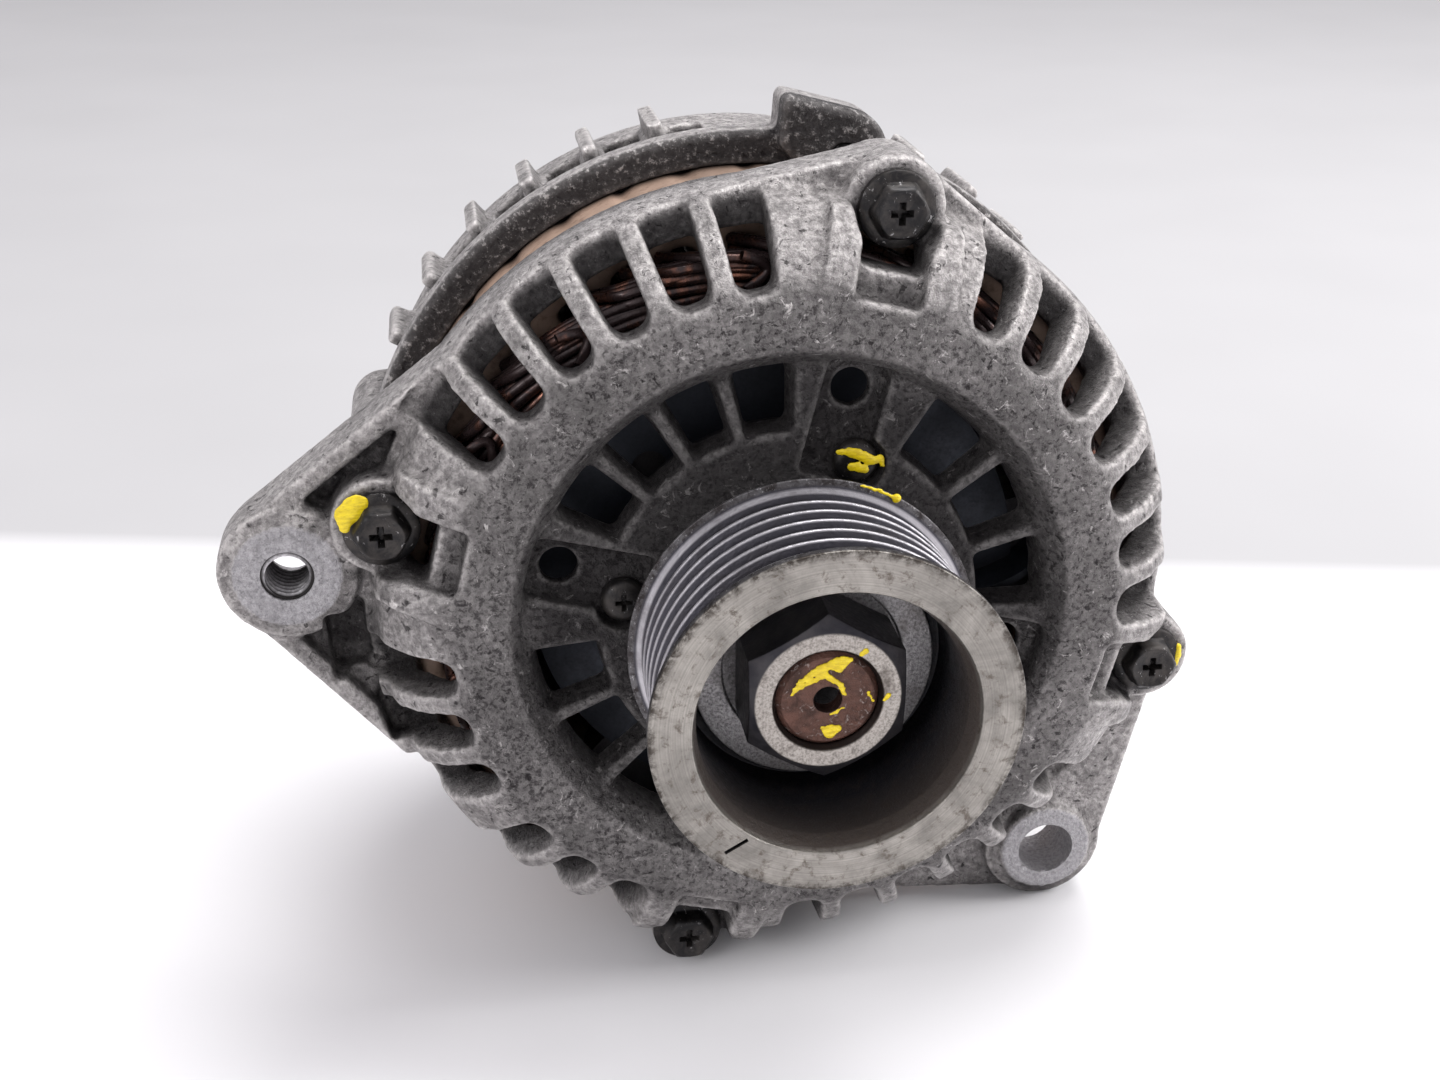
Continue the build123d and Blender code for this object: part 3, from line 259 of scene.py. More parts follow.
def cast_finish(name, alloy, grime_and_shade, machined, hollow_shade, hub_shade_and_grime=0.0, flange_darkening=0.0):
    """Cast aluminium, pitted, with painted shade and oily grime in its hollows and slots, a painted highlight
    over its outer fins, edges worn bright and given painted highlights, and smooth where machined.
    """
    finish = Finish(name)
    radius, depth = finish.shaft_radius(), finish.axis(1)
    lumps = finish.noise(760.0, 5.0, 0.72)
    grain = finish.noise(1900.0, 3.0, 0.65)
    patches = finish.noise(42.0, 4.0, 0.62, 0.6)
    stains = finish.noise(130.0, 5.0, 0.7, 0.8)
    pits = finish.span(finish.noise(600.0, 3.0, 0.6, 0.5), 0.61, 0.68)
    chips = finish.span(finish.noise(420.0, 5.0, 0.75, 1.0), 0.60, 0.68)
    pores = finish.span(finish.noise(980.0, 5.0, 0.8, 0.3), 0.475, 0.405)
    pores = finish.times(pores, finish.span(radius, 0.0540, 0.0575, 0.7, 0.28))
    finish.shader.inputs["Specular IOR Level"].default_value = 0.12
    tone = finish.fade(patches, 0.36, 0.64, tint(alloy, 0.70), tint(alloy, 1.15))
    # Painted highlight: the alloy is lighter beyond 55 to 60 mm from the shaft, over the outer fins.
    tone = finish.fade(radius, 0.0550, 0.0600, tone, tint(alloy, 2.1), 0.8)
    tone = finish.fade(lumps, 0.40, 0.62, finish.blend(0.55, tone, tint(grime_and_shade, 4.0)), tone)
    tone = finish.fade(stains, 0.46, 0.70, tone, tint(alloy, 0.40), 0.65)
    # Painted shade: the alloy is darkened in hollows found by ambient occlusion, more strongly in the stain
    # patches.
    hollow = finish.hollow(0.009)
    shade_and_grime_amount = finish.times(finish.span(hollow, 0.16, 0.62), finish.span(stains, 0.30, 0.60, 0.62, 1.0))
    shade_and_grime_amount = finish.times(shade_and_grime_amount, hollow_shade)
    # Painted shade deep in the slots below the shoulder and in the pocket beside the left ear, varied by the
    # stain patches.
    sunk = finish.times(finish.attribute("sunk"), finish.span(stains, 0.30, 0.62, 0.97, 0.72))
    shade_and_grime_amount = finish.most(shade_and_grime_amount, sunk)
    # Painted shade with grime: the bracket's face round the pulley, inside the windows, is darkened.
    if hub_shade_and_grime:
        ahead = finish.span(depth, 0.0345, 0.0335)
        inner = finish.times(finish.span(radius, 0.0475, 0.0395), ahead)
        inner = finish.times(inner, finish.span(patches, 0.25, 0.6, hub_shade_and_grime * 0.75, hub_shade_and_grime))
        shade_and_grime_amount = finish.most(shade_and_grime_amount, inner)
    # The front face of the rear flange is darker and speckled.
    if flange_darkening:
        rim = finish.times(finish.span(depth, 0.0709, 0.0703), finish.span(radius, 0.0630, 0.0636))
        rim = finish.times(rim, finish.span(lumps, 0.55, 0.66, flange_darkening, flange_darkening * 0.35))
        shade_and_grime_amount = finish.most(shade_and_grime_amount, rim)
    tone = finish.blend(pores, tone, tint(grime_and_shade, 2.2))
    # Painted shade and grime: the darkening worked out above, in the dark grime colour.
    tone = finish.blend(shade_and_grime_amount, tone, grime_and_shade)
    tone = finish.blend(finish.times(pits, 0.8), tone, tint(grime_and_shade, 1.3))
    # Edge wear with painted highlights: edges found by pointiness, and random chips, are lightened, less so
    # where the hollows are darkened.
    wear_and_highlight = finish.times(finish.edges(0.508, 0.555), finish.span(lumps, 0.30, 0.58, 0.3, 1.0))
    bright = finish.most(wear_and_highlight, finish.times(chips, 0.6))
    bright = finish.times(bright, finish.span(shade_and_grime_amount, 0.0, 0.95, 1.0, 0.22))
    tone = finish.blend(bright, tone, tint(alloy, 2.8))
    turned = finish.fade(finish.noise(1500.0, 4.0, 0.7), 0.40, 0.66, machined, tint(machined, 0.62))
    turned = finish.fade(stains, 0.50, 0.72, turned, tint(machined, 0.5), 0.45)
    tone = finish.blend(finish.attribute("machined"), tone, turned)
    finish.base(tone)
    finish.metal(finish.span(shade_and_grime_amount, 0.0, 1.0, 0.8, 0.15))
    matt = finish.span(grain, 0.3, 0.7, 0.38, 0.60)
    finish.rough(finish.maths("SUBTRACT", matt, finish.times(bright, 0.14)))
    finish.bumps(
        (patches, 0.0015, 0.4),
        (lumps, 0.0007, 0.9),
        (grain, 0.00012, 0.5),
        (finish.maths("SUBTRACT", 1.0, finish.most(pits, pores)), 0.00025, 0.8),
    )
    return finish.material


def steel_finish(name, base, metallic=0.9, low=0.28, high=0.5, hollow_shade=0.6):
    """Bare or plated metal with fine marks, smudges and painted shade in its corners."""
    finish = Finish(name, metallic=metallic)
    smudge = finish.noise(120.0, 4.0, 0.65, 0.3)
    fine = finish.noise(2200.0, 3.0, 0.6)
    tone = finish.fade(smudge, 0.35, 0.68, tint(base, 1.15), tint(base, 0.66))
    tone = finish.fade(fine, 0.45, 0.75, tone, tint(base, 0.5), 0.4)
    # Painted shade in corners found by ambient occlusion.
    shade_and_grime_amount = finish.times(finish.span(finish.hollow(0.003, 4), 0.25, 0.85), hollow_shade)
    finish.base(finish.blend(shade_and_grime_amount, tone, (0.02, 0.017, 0.015)))
    finish.rough(finish.span(finish.maths("ADD", smudge, fine), 0.7, 1.25, low, high))
    finish.bumps((fine, 0.00006, 0.45), (smudge, 0.0002, 0.2), soften=0.00012)
    return finish.material


def plastic_finish(name, base):
    """Glass-filled moulded plastic with a light dust."""
    finish = Finish(name)
    dust = finish.noise(90.0, 5.0, 0.7)
    grain = finish.noise(2600.0, 2.0, 0.5)
    tone = finish.fade(dust, 0.4, 0.75, base, tint(tuple(c + 0.02 for c in base), 2.2), 0.5)
    finish.base(tone)
    finish.rough(finish.span(dust, 0.3, 0.7, 0.38, 0.62))
    finish.bumps((grain, 0.00008, 0.5), (dust, 0.0004, 0.15), soften=0.0003)
    return finish.material


def winding_finish(name, copper):
    """Dark baked varnish over copper, which glints along each wire, with patches of bare copper lightened as
    painted highlights and painted shade between the wires.
    """
    finish = Finish(name)
    patches = finish.noise(190.0, 4.0, 0.6, 0.5)
    fine = finish.noise(1400.0, 3.0, 0.6)
    # Patches of bare copper, lightened as painted highlights.
    bare_and_highlight = finish.span(patches, 0.50, 0.68)
    tone = finish.blend(bare_and_highlight, (0.055, 0.036, 0.036), tint(copper, 1.7))
    tone = finish.fade(fine, 0.45, 0.75, tone, (0.02, 0.013, 0.013), 0.6)
    # Painted shade between the wires, found by ambient occlusion.
    tone = finish.fade(finish.hollow(0.003, 4), 0.25, 0.85, tone, (0.005, 0.004, 0.004), 0.95)
    finish.base(tone)
    finish.metal(finish.span(patches, 0.45, 0.65, 0.35, 0.85))
    finish.rough(finish.span(fine, 0.3, 0.7, 0.22, 0.40))
    finish.bumps((fine, 0.0001, 0.4), (patches, 0.0003, 0.2))
    return finish.material


def lamination_finish(name, base):
    """Stacked steel sheets under thin tan lacquer, with fine lines round the stack and rust spots."""
    finish = Finish(name)
    sockets = {"Vector": finish.place, "Scale": 310.0, "Distortion": 0.4}
    sheets = finish.node("ShaderNodeTexWave", sockets, bands_direction="Y", wave_profile="SAW").outputs["Fac"]
    patches = finish.noise(70.0, 5.0, 0.6, 0.4)
    spots = finish.noise(420.0, 4.0, 0.7)
    tone = finish.fade(patches, 0.34, 0.66, tint(base, 1.25), tint(base, 0.72))
    tone = finish.fade(spots, 0.52, 0.72, tone, (0.10, 0.05, 0.03), 0.6)
    tone = finish.fade(sheets, 0.8, 1.0, tone, tint(base, 0.4), 0.3)
    # Painted shade in the hollows, found by ambient occlusion.
    tone = finish.fade(finish.hollow(0.004, 4), 0.3, 0.95, tone, (0.03, 0.02, 0.016), 0.85)
    finish.base(tone)
    finish.metal(0.25)
    finish.rough(finish.span(spots, 0.3, 0.7, 0.45, 0.7))
    finish.bumps((sheets, 0.00008, 0.35), (spots, 0.0001, 0.4), soften=0.0003)
    return finish.material


def pulley_finish(name, base):
    """Turned steel: grooves darkened as painted shade, ridges with thin painted highlights, a worn rim with
    turning marks, a cup with dirt spots and painted shade deepening inward, and painted shade in its hollows.
    """
    finish = Finish(name)
    radius, depth = finish.shaft_radius(), finish.axis(1)
    smudge = finish.noise(120.0, 5.0, 0.68, 0.5)
    spots = finish.noise(480.0, 5.0, 0.72, 0.4)
    fine = finish.noise(2100.0, 3.0, 0.65)
    sockets = {"W": radius, "Scale": 3900.0, "Detail": 4.0}
    rings = finish.node("ShaderNodeTexNoise", sockets, noise_dimensions="1D").outputs["Fac"]
    rim = finish.fade(smudge, 0.36, 0.66, tint(base, 1.45), tint(base, 0.75))
    rim = finish.fade(rings, 0.40, 0.62, rim, tint(base, 0.5), 0.30)
    rim = finish.fade(spots, 0.54, 0.66, rim, (0.085, 0.065, 0.052), 0.75)
    dirty = finish.times(finish.span(radius, 0.0268, 0.0280), finish.span(spots, 0.40, 0.56))
    rim = finish.blend(dirty, rim, (0.05, 0.042, 0.036))
    # Painted highlight along the ridge tips.
    ridge_highlight = finish.times(finish.span(radius, 0.02585, 0.02615), finish.span(radius, 0.0270, 0.0266))
    # Painted shade: the grooves darken towards their bottoms.
    track = finish.fade(radius, 0.0238, 0.0256, (0.014, 0.013, 0.017), (0.060, 0.058, 0.070))
    track = finish.blend(ridge_highlight, track, (0.46, 0.445, 0.47))
    flange = finish.fade(spots, 0.42, 0.60, (0.12, 0.115, 0.12), (0.035, 0.03, 0.03))
    flange = finish.fade(fine, 0.60, 0.70, flange, (0.42, 0.41, 0.42), 0.7)
    track = finish.fade(radius, 0.0270, 0.0274, track, flange)
    track = finish.fade(smudge, 0.46, 0.70, track, (0.05, 0.044, 0.045), 0.45)
    outside = finish.times(finish.span(radius, 0.0226, 0.0229), finish.span(depth, -0.0141, -0.0137))
    tone = finish.blend(outside, rim, track)
    inside = finish.times(finish.span(radius, 0.0222, 0.0216), finish.span(depth, -0.0142, -0.0130))
    # Painted shade deepening into the cup, with dirt spots on its wall.
    wall = finish.fade(depth, -0.0138, -0.001, (0.085, 0.070, 0.062), (0.010, 0.010, 0.014))
    wall = finish.fade(spots, 0.50, 0.68, wall, (0.05, 0.036, 0.030), 0.5)
    tone = finish.blend(inside, tone, wall)
    hub = finish.times(finish.span(radius, 0.0194, 0.0190), finish.span(depth, 0.0046, 0.0049))
    face = finish.fade(fine, 0.40, 0.64, (0.46, 0.445, 0.45), (0.20, 0.19, 0.195))
    face = finish.fade(smudge, 0.48, 0.68, face, (0.13, 0.11, 0.10), 0.5)
    tone = finish.blend(hub, tone, face)
    # Painted shade in hollows found by ambient occlusion.
    tone = finish.fade(finish.hollow(0.004, 4), 0.45, 1.0, tone, (0.010, 0.009, 0.011), 0.85)
    finish.base(tone)
    finish.metal(finish.maths("SUBTRACT", 0.85, finish.times(inside, 0.45)))
    finish.rough(finish.span(finish.maths("ADD", spots, fine), 0.75, 1.25, 0.28, 0.50))
    finish.bumps((rings, 0.00004, 0.3), (fine, 0.00014, 0.5), (spots, 0.0004, 0.45))
    return finish.material


def nut_finish(name):
    """Dark phosphate on the flats, with a pale speckled front face."""
    finish = Finish(name, metallic=0.85)
    radius = finish.shaft_radius()
    depth = finish.axis(1)
    fine = finish.noise(1300.0, 4.0, 0.65)
    smudge = finish.noise(160.0, 4.0, 0.6)
    flats = finish.fade(smudge, 0.36, 0.66, (0.035, 0.034, 0.042), (0.085, 0.08, 0.085))
    face = finish.fade(finish.noise(2600.0, 4.0, 0.7), 0.42, 0.66, (0.40, 0.37, 0.34), (0.20, 0.18, 0.165))
    face = finish.fade(smudge, 0.56, 0.68, face, (0.09, 0.075, 0.065), 0.8)
    front = finish.times(finish.span(depth, -0.00615, -0.00632), finish.span(radius, 0.01135, 0.0111))
    tone = finish.blend(front, flats, face)
    # Painted shade in the ring round the bore, where the nut meets the shaft.
    tone = finish.fade(radius, 0.0087, 0.0084, tone, (0.03, 0.022, 0.02))
    finish.base(tone)
    finish.rough(finish.span(fine, 0.3, 0.7, 0.30, 0.52))
    finish.bumps((fine, 0.0001, 0.5), (smudge, 0.0002, 0.2), soften=0.00035)
    return finish.material


def shaft_finish(name, rust):
    """Turned steel with a brown rusted and pitted end and painted shade in its centre hole."""
    finish = Finish(name)
    radius, depth = finish.shaft_radius(), finish.axis(1)
    smudge = finish.noise(300.0, 5.0, 0.68, 0.6)
    scabs = finish.noise(900.0, 5.0, 0.75, 0.8)
    fine = finish.noise(1700.0, 3.0, 0.6)
    brown = finish.fade(smudge, 0.36, 0.64, tint(rust, 1.35), tint(rust, 0.5))
    pale = finish.times(finish.span(scabs, 0.57, 0.63), finish.span(smudge, 0.44, 0.54))
    brown = finish.blend(finish.times(pale, 0.85), brown, (0.36, 0.30, 0.28))
    # Painted shade in the centre hole.
    brown = finish.fade(radius, 0.00235, 0.0021, brown, (0.004, 0.003, 0.004))
    steel = finish.fade(smudge, 0.36, 0.64, (0.42, 0.41, 0.40), (0.22, 0.20, 0.19))
    end = finish.span(depth, 0.0005, -0.0002)
    finish.base(finish.blend(end, steel, brown))
    finish.metal(finish.span(end, 0.0, 1.0, 0.9, 0.35))
    finish.rough(finish.span(smudge, 0.3, 0.7, 0.36, 0.6))
    finish.bumps((smudge, 0.0005, 0.5), (scabs, 0.0004, 0.8), (fine, 0.00012, 0.5), soften=0.0002)
    return finish.material


def bolt_finish(name):
    """Black oxide under oily dust, rubbed bright in small chips."""
    finish = Finish(name, metallic=0.7)
    dust = finish.noise(300.0, 5.0, 0.7, 0.4)
    chips = finish.span(finish.noise(900.0, 4.0, 0.7, 0.8), 0.63, 0.69)
    tone = finish.fade(dust, 0.42, 0.70, (0.018, 0.017, 0.018), (0.085, 0.075, 0.068), 0.7)
    tone = finish.blend(chips, tone, (0.34, 0.33, 0.33))
    finish.base(tone)
    finish.rough(finish.span(dust, 0.3, 0.7, 0.30, 0.55))
    finish.bumps((dust, 0.0003, 0.5), (chips, 0.00008, 0.3), soften=0.0003)
    return finish.material


def thread_finish(name, base):
    """Cut thread, with painted highlights on its crests, painted shade in its roots and painted shade
    deepening into the bore.
    """
    finish = Finish(name, metallic=0.8)
    fine = finish.noise(1800.0, 3.0, 0.6)
    wear_and_highlight = finish.fade(fine, 0.35, 0.65, tint(base, 1.1), tint(base, 0.6))
    # Painted shade in the roots and painted highlights on the crests.
    tone = finish.fade(finish.attribute("crest"), 0.30, 0.75, (0.02, 0.018, 0.018), wear_and_highlight)
    # Painted shade deepening into the bore.
    finish.base(finish.fade(finish.axis(1), 0.0330, 0.0400, tone, (0.03, 0.027, 0.026), 0.5))
    finish.rough(finish.span(fine, 0.3, 0.7, 0.28, 0.45))
    finish.bumps((fine, 0.00006, 0.4))
    return finish.material


def paint_finish(name, base):
    """Thick hand-brushed paint, with darker brush lines."""
    finish = Finish(name)
    lines = finish.noise(900.0, 4.0, 0.6, at=finish.stretched(1.0, 1.0, 3.0))
    tone = finish.fade(lines, 0.35, 0.70, tint(base, 1.05), (0.62, 0.44, 0.004))
    finish.base(tone)
    finish.rough(finish.span(lines, 0.3, 0.7, 0.26, 0.42))
    finish.bumps((lines, 0.00022, 0.6))
    return finish.material


# Meshes


def around(radius, y, angle):
    """A point in metres from a distance from the shaft's axis and a depth in millimetres, and an angle."""
    return (radius * MM * math.cos(angle), y * MM, radius * MM * math.sin(angle))


def on_circle(radius, degrees):
    """Points (x, z) on a circle about the shaft's axis."""
    return [(radius * math.cos(math.radians(a)), radius * math.sin(math.radians(a))) for a in degrees]


def stroke(y, *points):
    """A brush stroke at one depth, from (x, z, radius) points in millimetres."""
    return [((x, y, z), size) for x, z, size in points]


def finished(made, name):
    """Turns a bmesh into a mesh."""
    mesh = bpy.data.meshes.new(name)
    made.to_mesh(mesh)
    made.free()
    return mesh


def linked(name, data):
    """A new object in the scene."""
    made = bpy.data.objects.new(name, data)
    bpy.context.scene.collection.objects.link(made)
    return made


def settings(context):
    """The scene's sizes and colours."""
    return context.scene.alternator_sizes, context.scene.alternator_colours


def set_shading(mesh, degrees=None):
    """Smooth shading, with edges sharper than an angle kept sharp."""
    mesh.polygons.foreach_set("use_smooth", [True] * len(mesh.polygons))
    if degrees is not None:
        mesh.set_sharp_from_angle(angle=math.radians(degrees))


def place(name, mesh, body, material, replaces=()):
    """Links a finished mesh as a piece that rides on a body."""
    piece = linked(name, mesh)
    mesh.materials.clear()
    mesh.materials.append(material)
    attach(piece, body)
    if replaces:
        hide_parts(*replaces)
    return piece


def evaluated(piece):
    """The mesh of an object with its modifiers applied."""
    graph = bpy.context.evaluated_depsgraph_get()
    return bpy.data.meshes.new_from_object(piece.evaluated_get(graph), depsgraph=graph)


def remeshed(mesh, grain):
    """A mesh of even small quads over a closed shape."""
    work = bmesh.new()
    work.from_mesh(mesh)
    bmesh.ops.remove_doubles(work, verts=work.verts, dist=1e-6)
    work.to_mesh(mesh)
    work.free()
    carrier = linked("grain_carrier", mesh)
    modifier = carrier.modifiers.new("grain", "REMESH")
    modifier.mode = "VOXEL"
    modifier.voxel_size = grain
    bpy.context.view_layer.update()
    made = evaluated(carrier)
    bpy.data.objects.remove(carrier)
    return made


def cut(mesh, tool, overlaps=False):
    """A mesh with another one cut out of it."""
    pair = [linked(part.name + "_blank", part) for part in (mesh, tool)]
    modifier = pair[0].modifiers.new("cut", "BOOLEAN")
    modifier.operation = "DIFFERENCE"
    modifier.solver = "EXACT"
    modifier.use_self = overlaps
    modifier.object = pair[1]
    bpy.context.view_layer.update()
    made = evaluated(pair[0])
    for carrier in pair:
        bpy.data.objects.remove(carrier)
    return made


def points_of(mesh):
    co = np.zeros(len(mesh.vertices) * 3)
    mesh.vertices.foreach_get("co", co)
    return co.reshape(-1, 3)


def relax(mesh, passes):
    """Averages each vertex with its neighbours, which rounds the edges of a cast shape."""
    co = points_of(mesh)
    edges = np.zeros(len(mesh.edges) * 2, np.int32)
    mesh.edges.foreach_get("vertices", edges)
    a, b = edges.reshape(-1, 2).T
    count = np.bincount(a, minlength=len(co)) + np.bincount(b, minlength=len(co))
    for _ in range(passes):
        for axis in range(3):
            line = co[:, axis]
            total = np.bincount(a, line[b], len(co)) + np.bincount(b, line[a], len(co))
            co[:, axis] = line + (total / count - line) * 0.5
    return co


def store(mesh, co):
    mesh.vertices.foreach_set("co", co.ravel())
    mesh.update()


def skin(made, rings):
    """Faces between each ring of vertices and the next."""
    for here, there in zip(rings, rings[1:]):
        for k in range(len(here)):
            n = (k + 1) % len(here)
            made.faces.new((here[k], here[n], there[n], there[k]))


def lathe(name, outline, steps):
    """A closed ring of revolution about the shaft's axis from (radius, y) points in millimetres."""
    made = bmesh.new()
    rings = []
    for step in range(steps):
        angle = 2 * math.pi * step / steps
        rings.append([made.verts.new(around(r, y, angle)) for r, y in outline])
    skin(made, rings + rings[:1])
    bmesh.ops.recalc_face_normals(made, faces=made.faces)
    return finished(made, name)


def rounded(points, radius, steps=4):
    """A closed outline with each corner cut by a short curve."""
    out = []
    count = len(points)
    for k in range(count):
        before, corner, after = (Vector(points[(k + d) % count]) for d in (-1, 0, 1))
        back, ahead = before - corner, after - corner
        reach = min(radius, back.length * 0.45, ahead.length * 0.45)
        start, end = corner + back.normalized() * reach, corner + ahead.normalized() * reach
        for step in range(steps + 1):
            t = step / steps
            out.append(tuple(start.lerp(corner, t).lerp(corner.lerp(end, t), t)))
    return out


def tubes(name, lines, radius):
    """Round wires along lists of points, as one mesh."""
    curve = bpy.data.curves.new(name, "CURVE")
    curve.dimensions = "3D"
    curve.bevel_depth = radius
    curve.bevel_resolution = 2
    curve.resolution_u = 2
    for line in lines:
        spline = curve.splines.new("NURBS")
        spline.points.add(len(line) - 1)
        for point, at in zip(spline.points, line):
            point.co = (*at, 1.0)
        spline.order_u = 4
        spline.use_endpoint_u = True
    carrier = linked(name + "_line", curve)
    bpy.context.view_layer.update()
    mesh = evaluated(carrier)
    bpy.data.objects.remove(carrier)
    bpy.data.curves.remove(curve)
    set_shading(mesh)
    return mesh


def smeared(name, strokes, seed, thin):
    """Paint mounds along strokes of ((x, y, z), radius) points in millimetres, flattened along Y."""
    rng = random.Random(seed)
    made = bmesh.new()
    for stroke in strokes:
        for (start, r0), (end, r1) in zip(stroke, stroke[1:]):
            start, end = Vector(start), Vector(end)
            steps = max(2, int((end - start).length / 0.28))
            for step in range(steps + 1):
                t = step / steps
                size = (r0 + (r1 - r0) * t) * rng.uniform(0.82, 1.14)
                centre = start.lerp(end, t) + Vector((rng.uniform(-0.12, 0.12), 0, rng.uniform(-0.12, 0.12)))
                shape = Matrix.Translation(centre * MM) @ Matrix.Diagonal(
                    (size * MM, size * thin * MM, size * MM, 1)
                )
                bmesh.ops.create_icosphere(made, subdivisions=2, radius=1.0, matrix=shape)
    mesh = remeshed(finished(made, name), PAINT_GRAIN)
    store(mesh, relax(mesh, 3))
    set_shading(mesh)
    return mesh


def near_hole(co, centre, radius, front, rear, band):
    """How far each vertex is from the axis of a round hole along Y, and which lie on its wall."""
    x, y, z = co.T
    away = np.hypot(x - centre[0], z - centre[1])
    return away, (np.abs(away - radius) < band) & (y > front - band) & (y < rear + band)


# Operators


class PieceOperator:
    """What every operator shares."""

    bl_options = {"REGISTER", "UNDO"}


class CastingOperator(PieceOperator):
    """What the operators that round a CAD part share."""

    def casting(self, node, grain, passes):
        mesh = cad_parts[node].data.copy()
        mesh.materials.clear()
        mesh = remeshed(mesh, grain)
        if len(mesh.vertices) < 10000:
            raise RuntimeError(f"{node} did not remesh")
        return mesh, relax(mesh, passes)

    def mark(self, mesh, name, values):
        layer = mesh.attributes.new(name, "FLOAT", "POINT")
        layer.data.foreach_set("value", values.astype(np.float32))

    def keep_in_box(self, co, node):
        low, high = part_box(node)
        return np.clip(co, np.array(low), np.array(high))


class ALTERNATOR_OT_front_casting(CastingOperator, bpy.types.Operator):
    """Adds the front bracket as a rounded casting with machined ears"""

    bl_idname = "alternator.front_casting"
    bl_label = "Front Casting"

    def sunk(self, co):
        """How deep each vertex lies below the shoulder, and in the pocket beside the left ear."""
        x, y, z = co.T / MM
        radius = np.hypot(x, z)
        shoulder = np.interp(
            radius, (54.0, 57.2, 62.4, 66.4, 68.2, 69.0, 69.6), (19.7, 21.0, 24.3, 28.9, 34.2, 38.2, 60.0)
        )
        depth = np.clip((y - shoulder - 1.6) / 4.5, 0.0, 1.0) * (radius > 54.0)
        away = np.sqrt((x + 71.5) ** 2 + ((y - 39.0) * 0.8) ** 2 + (z + 3.5) ** 2)
        return np.maximum(depth, np.clip((10.5 - away) / 5.0, 0.0, 1.0))

    def execute(self, context):
        sizes, colours = settings(context)
        mesh, co = self.casting("front_housing", sizes.casting_grain, 9)
        machined = np.zeros(len(co))
        ears = (
            (LEFT_EAR, sizes.thread_root + 0.0003, 0.0317, 0.0437, 0.0091),
            (LOWER_EAR, sizes.ear_bore, 0.0367, 0.0487, 0.0089),
        )
        for centre, bore, front, rear, face in ears:
            away, wall = near_hole(co, centre, bore, front, rear, 0.0013)
            push = bore / np.maximum(away, 1e-6)
            for axis, middle in ((0, centre[0]), (2, centre[1])):
                co[wall, axis] = middle + (co[wall, axis] - middle) * push[wall]
            flat = (away < face - 0.0004) & (np.abs(co[:, 1] - front) < 0.0008)
            co[flat, 1] = front
            machined[flat] = 1.0
            machined[wall] = 1.0
        store(mesh, self.keep_in_box(co, "front_housing"))
        self.mark(mesh, "machined", machined)
        # The depth below the shoulder, which the finish paints as shade.
        self.mark(mesh, "sunk", self.sunk(co))
        set_shading(mesh)
        material = cast_finish(
            "front_cast_alloy", colours.alloy, colours.grime_and_shade, colours.machined, 1.0, hub_shade_and_grime=0.86
        )
        place("front_casting", mesh, "housing", material, ["front_housing"])
        return {"FINISHED"}


class ALTERNATOR_OT_rear_casting(CastingOperator, bpy.types.Operator):
    """Adds the rear bracket as a rounded casting, darker on the front face of its flange"""

    bl_idname = "alternator.rear_casting"
    bl_label = "Rear Casting"

    def execute(self, context):
        sizes, colours = settings(context)
        mesh, co = self.casting("rear_housing", sizes.rear_grain, 6)
        store(mesh, self.keep_in_box(co, "rear_housing"))
        self.mark(mesh, "machined", np.zeros(len(co)))
        self.mark(mesh, "sunk", np.zeros(len(co)))
        set_shading(mesh)
        material = cast_finish(
            "rear_cast_alloy", tint(colours.alloy, 1.05), colours.grime_and_shade, colours.machined, 0.95,
            flange_darkening=0.9,
        )
        place("rear_casting", mesh, "housing", material, ["rear_housing"])
        return {"FINISHED"}


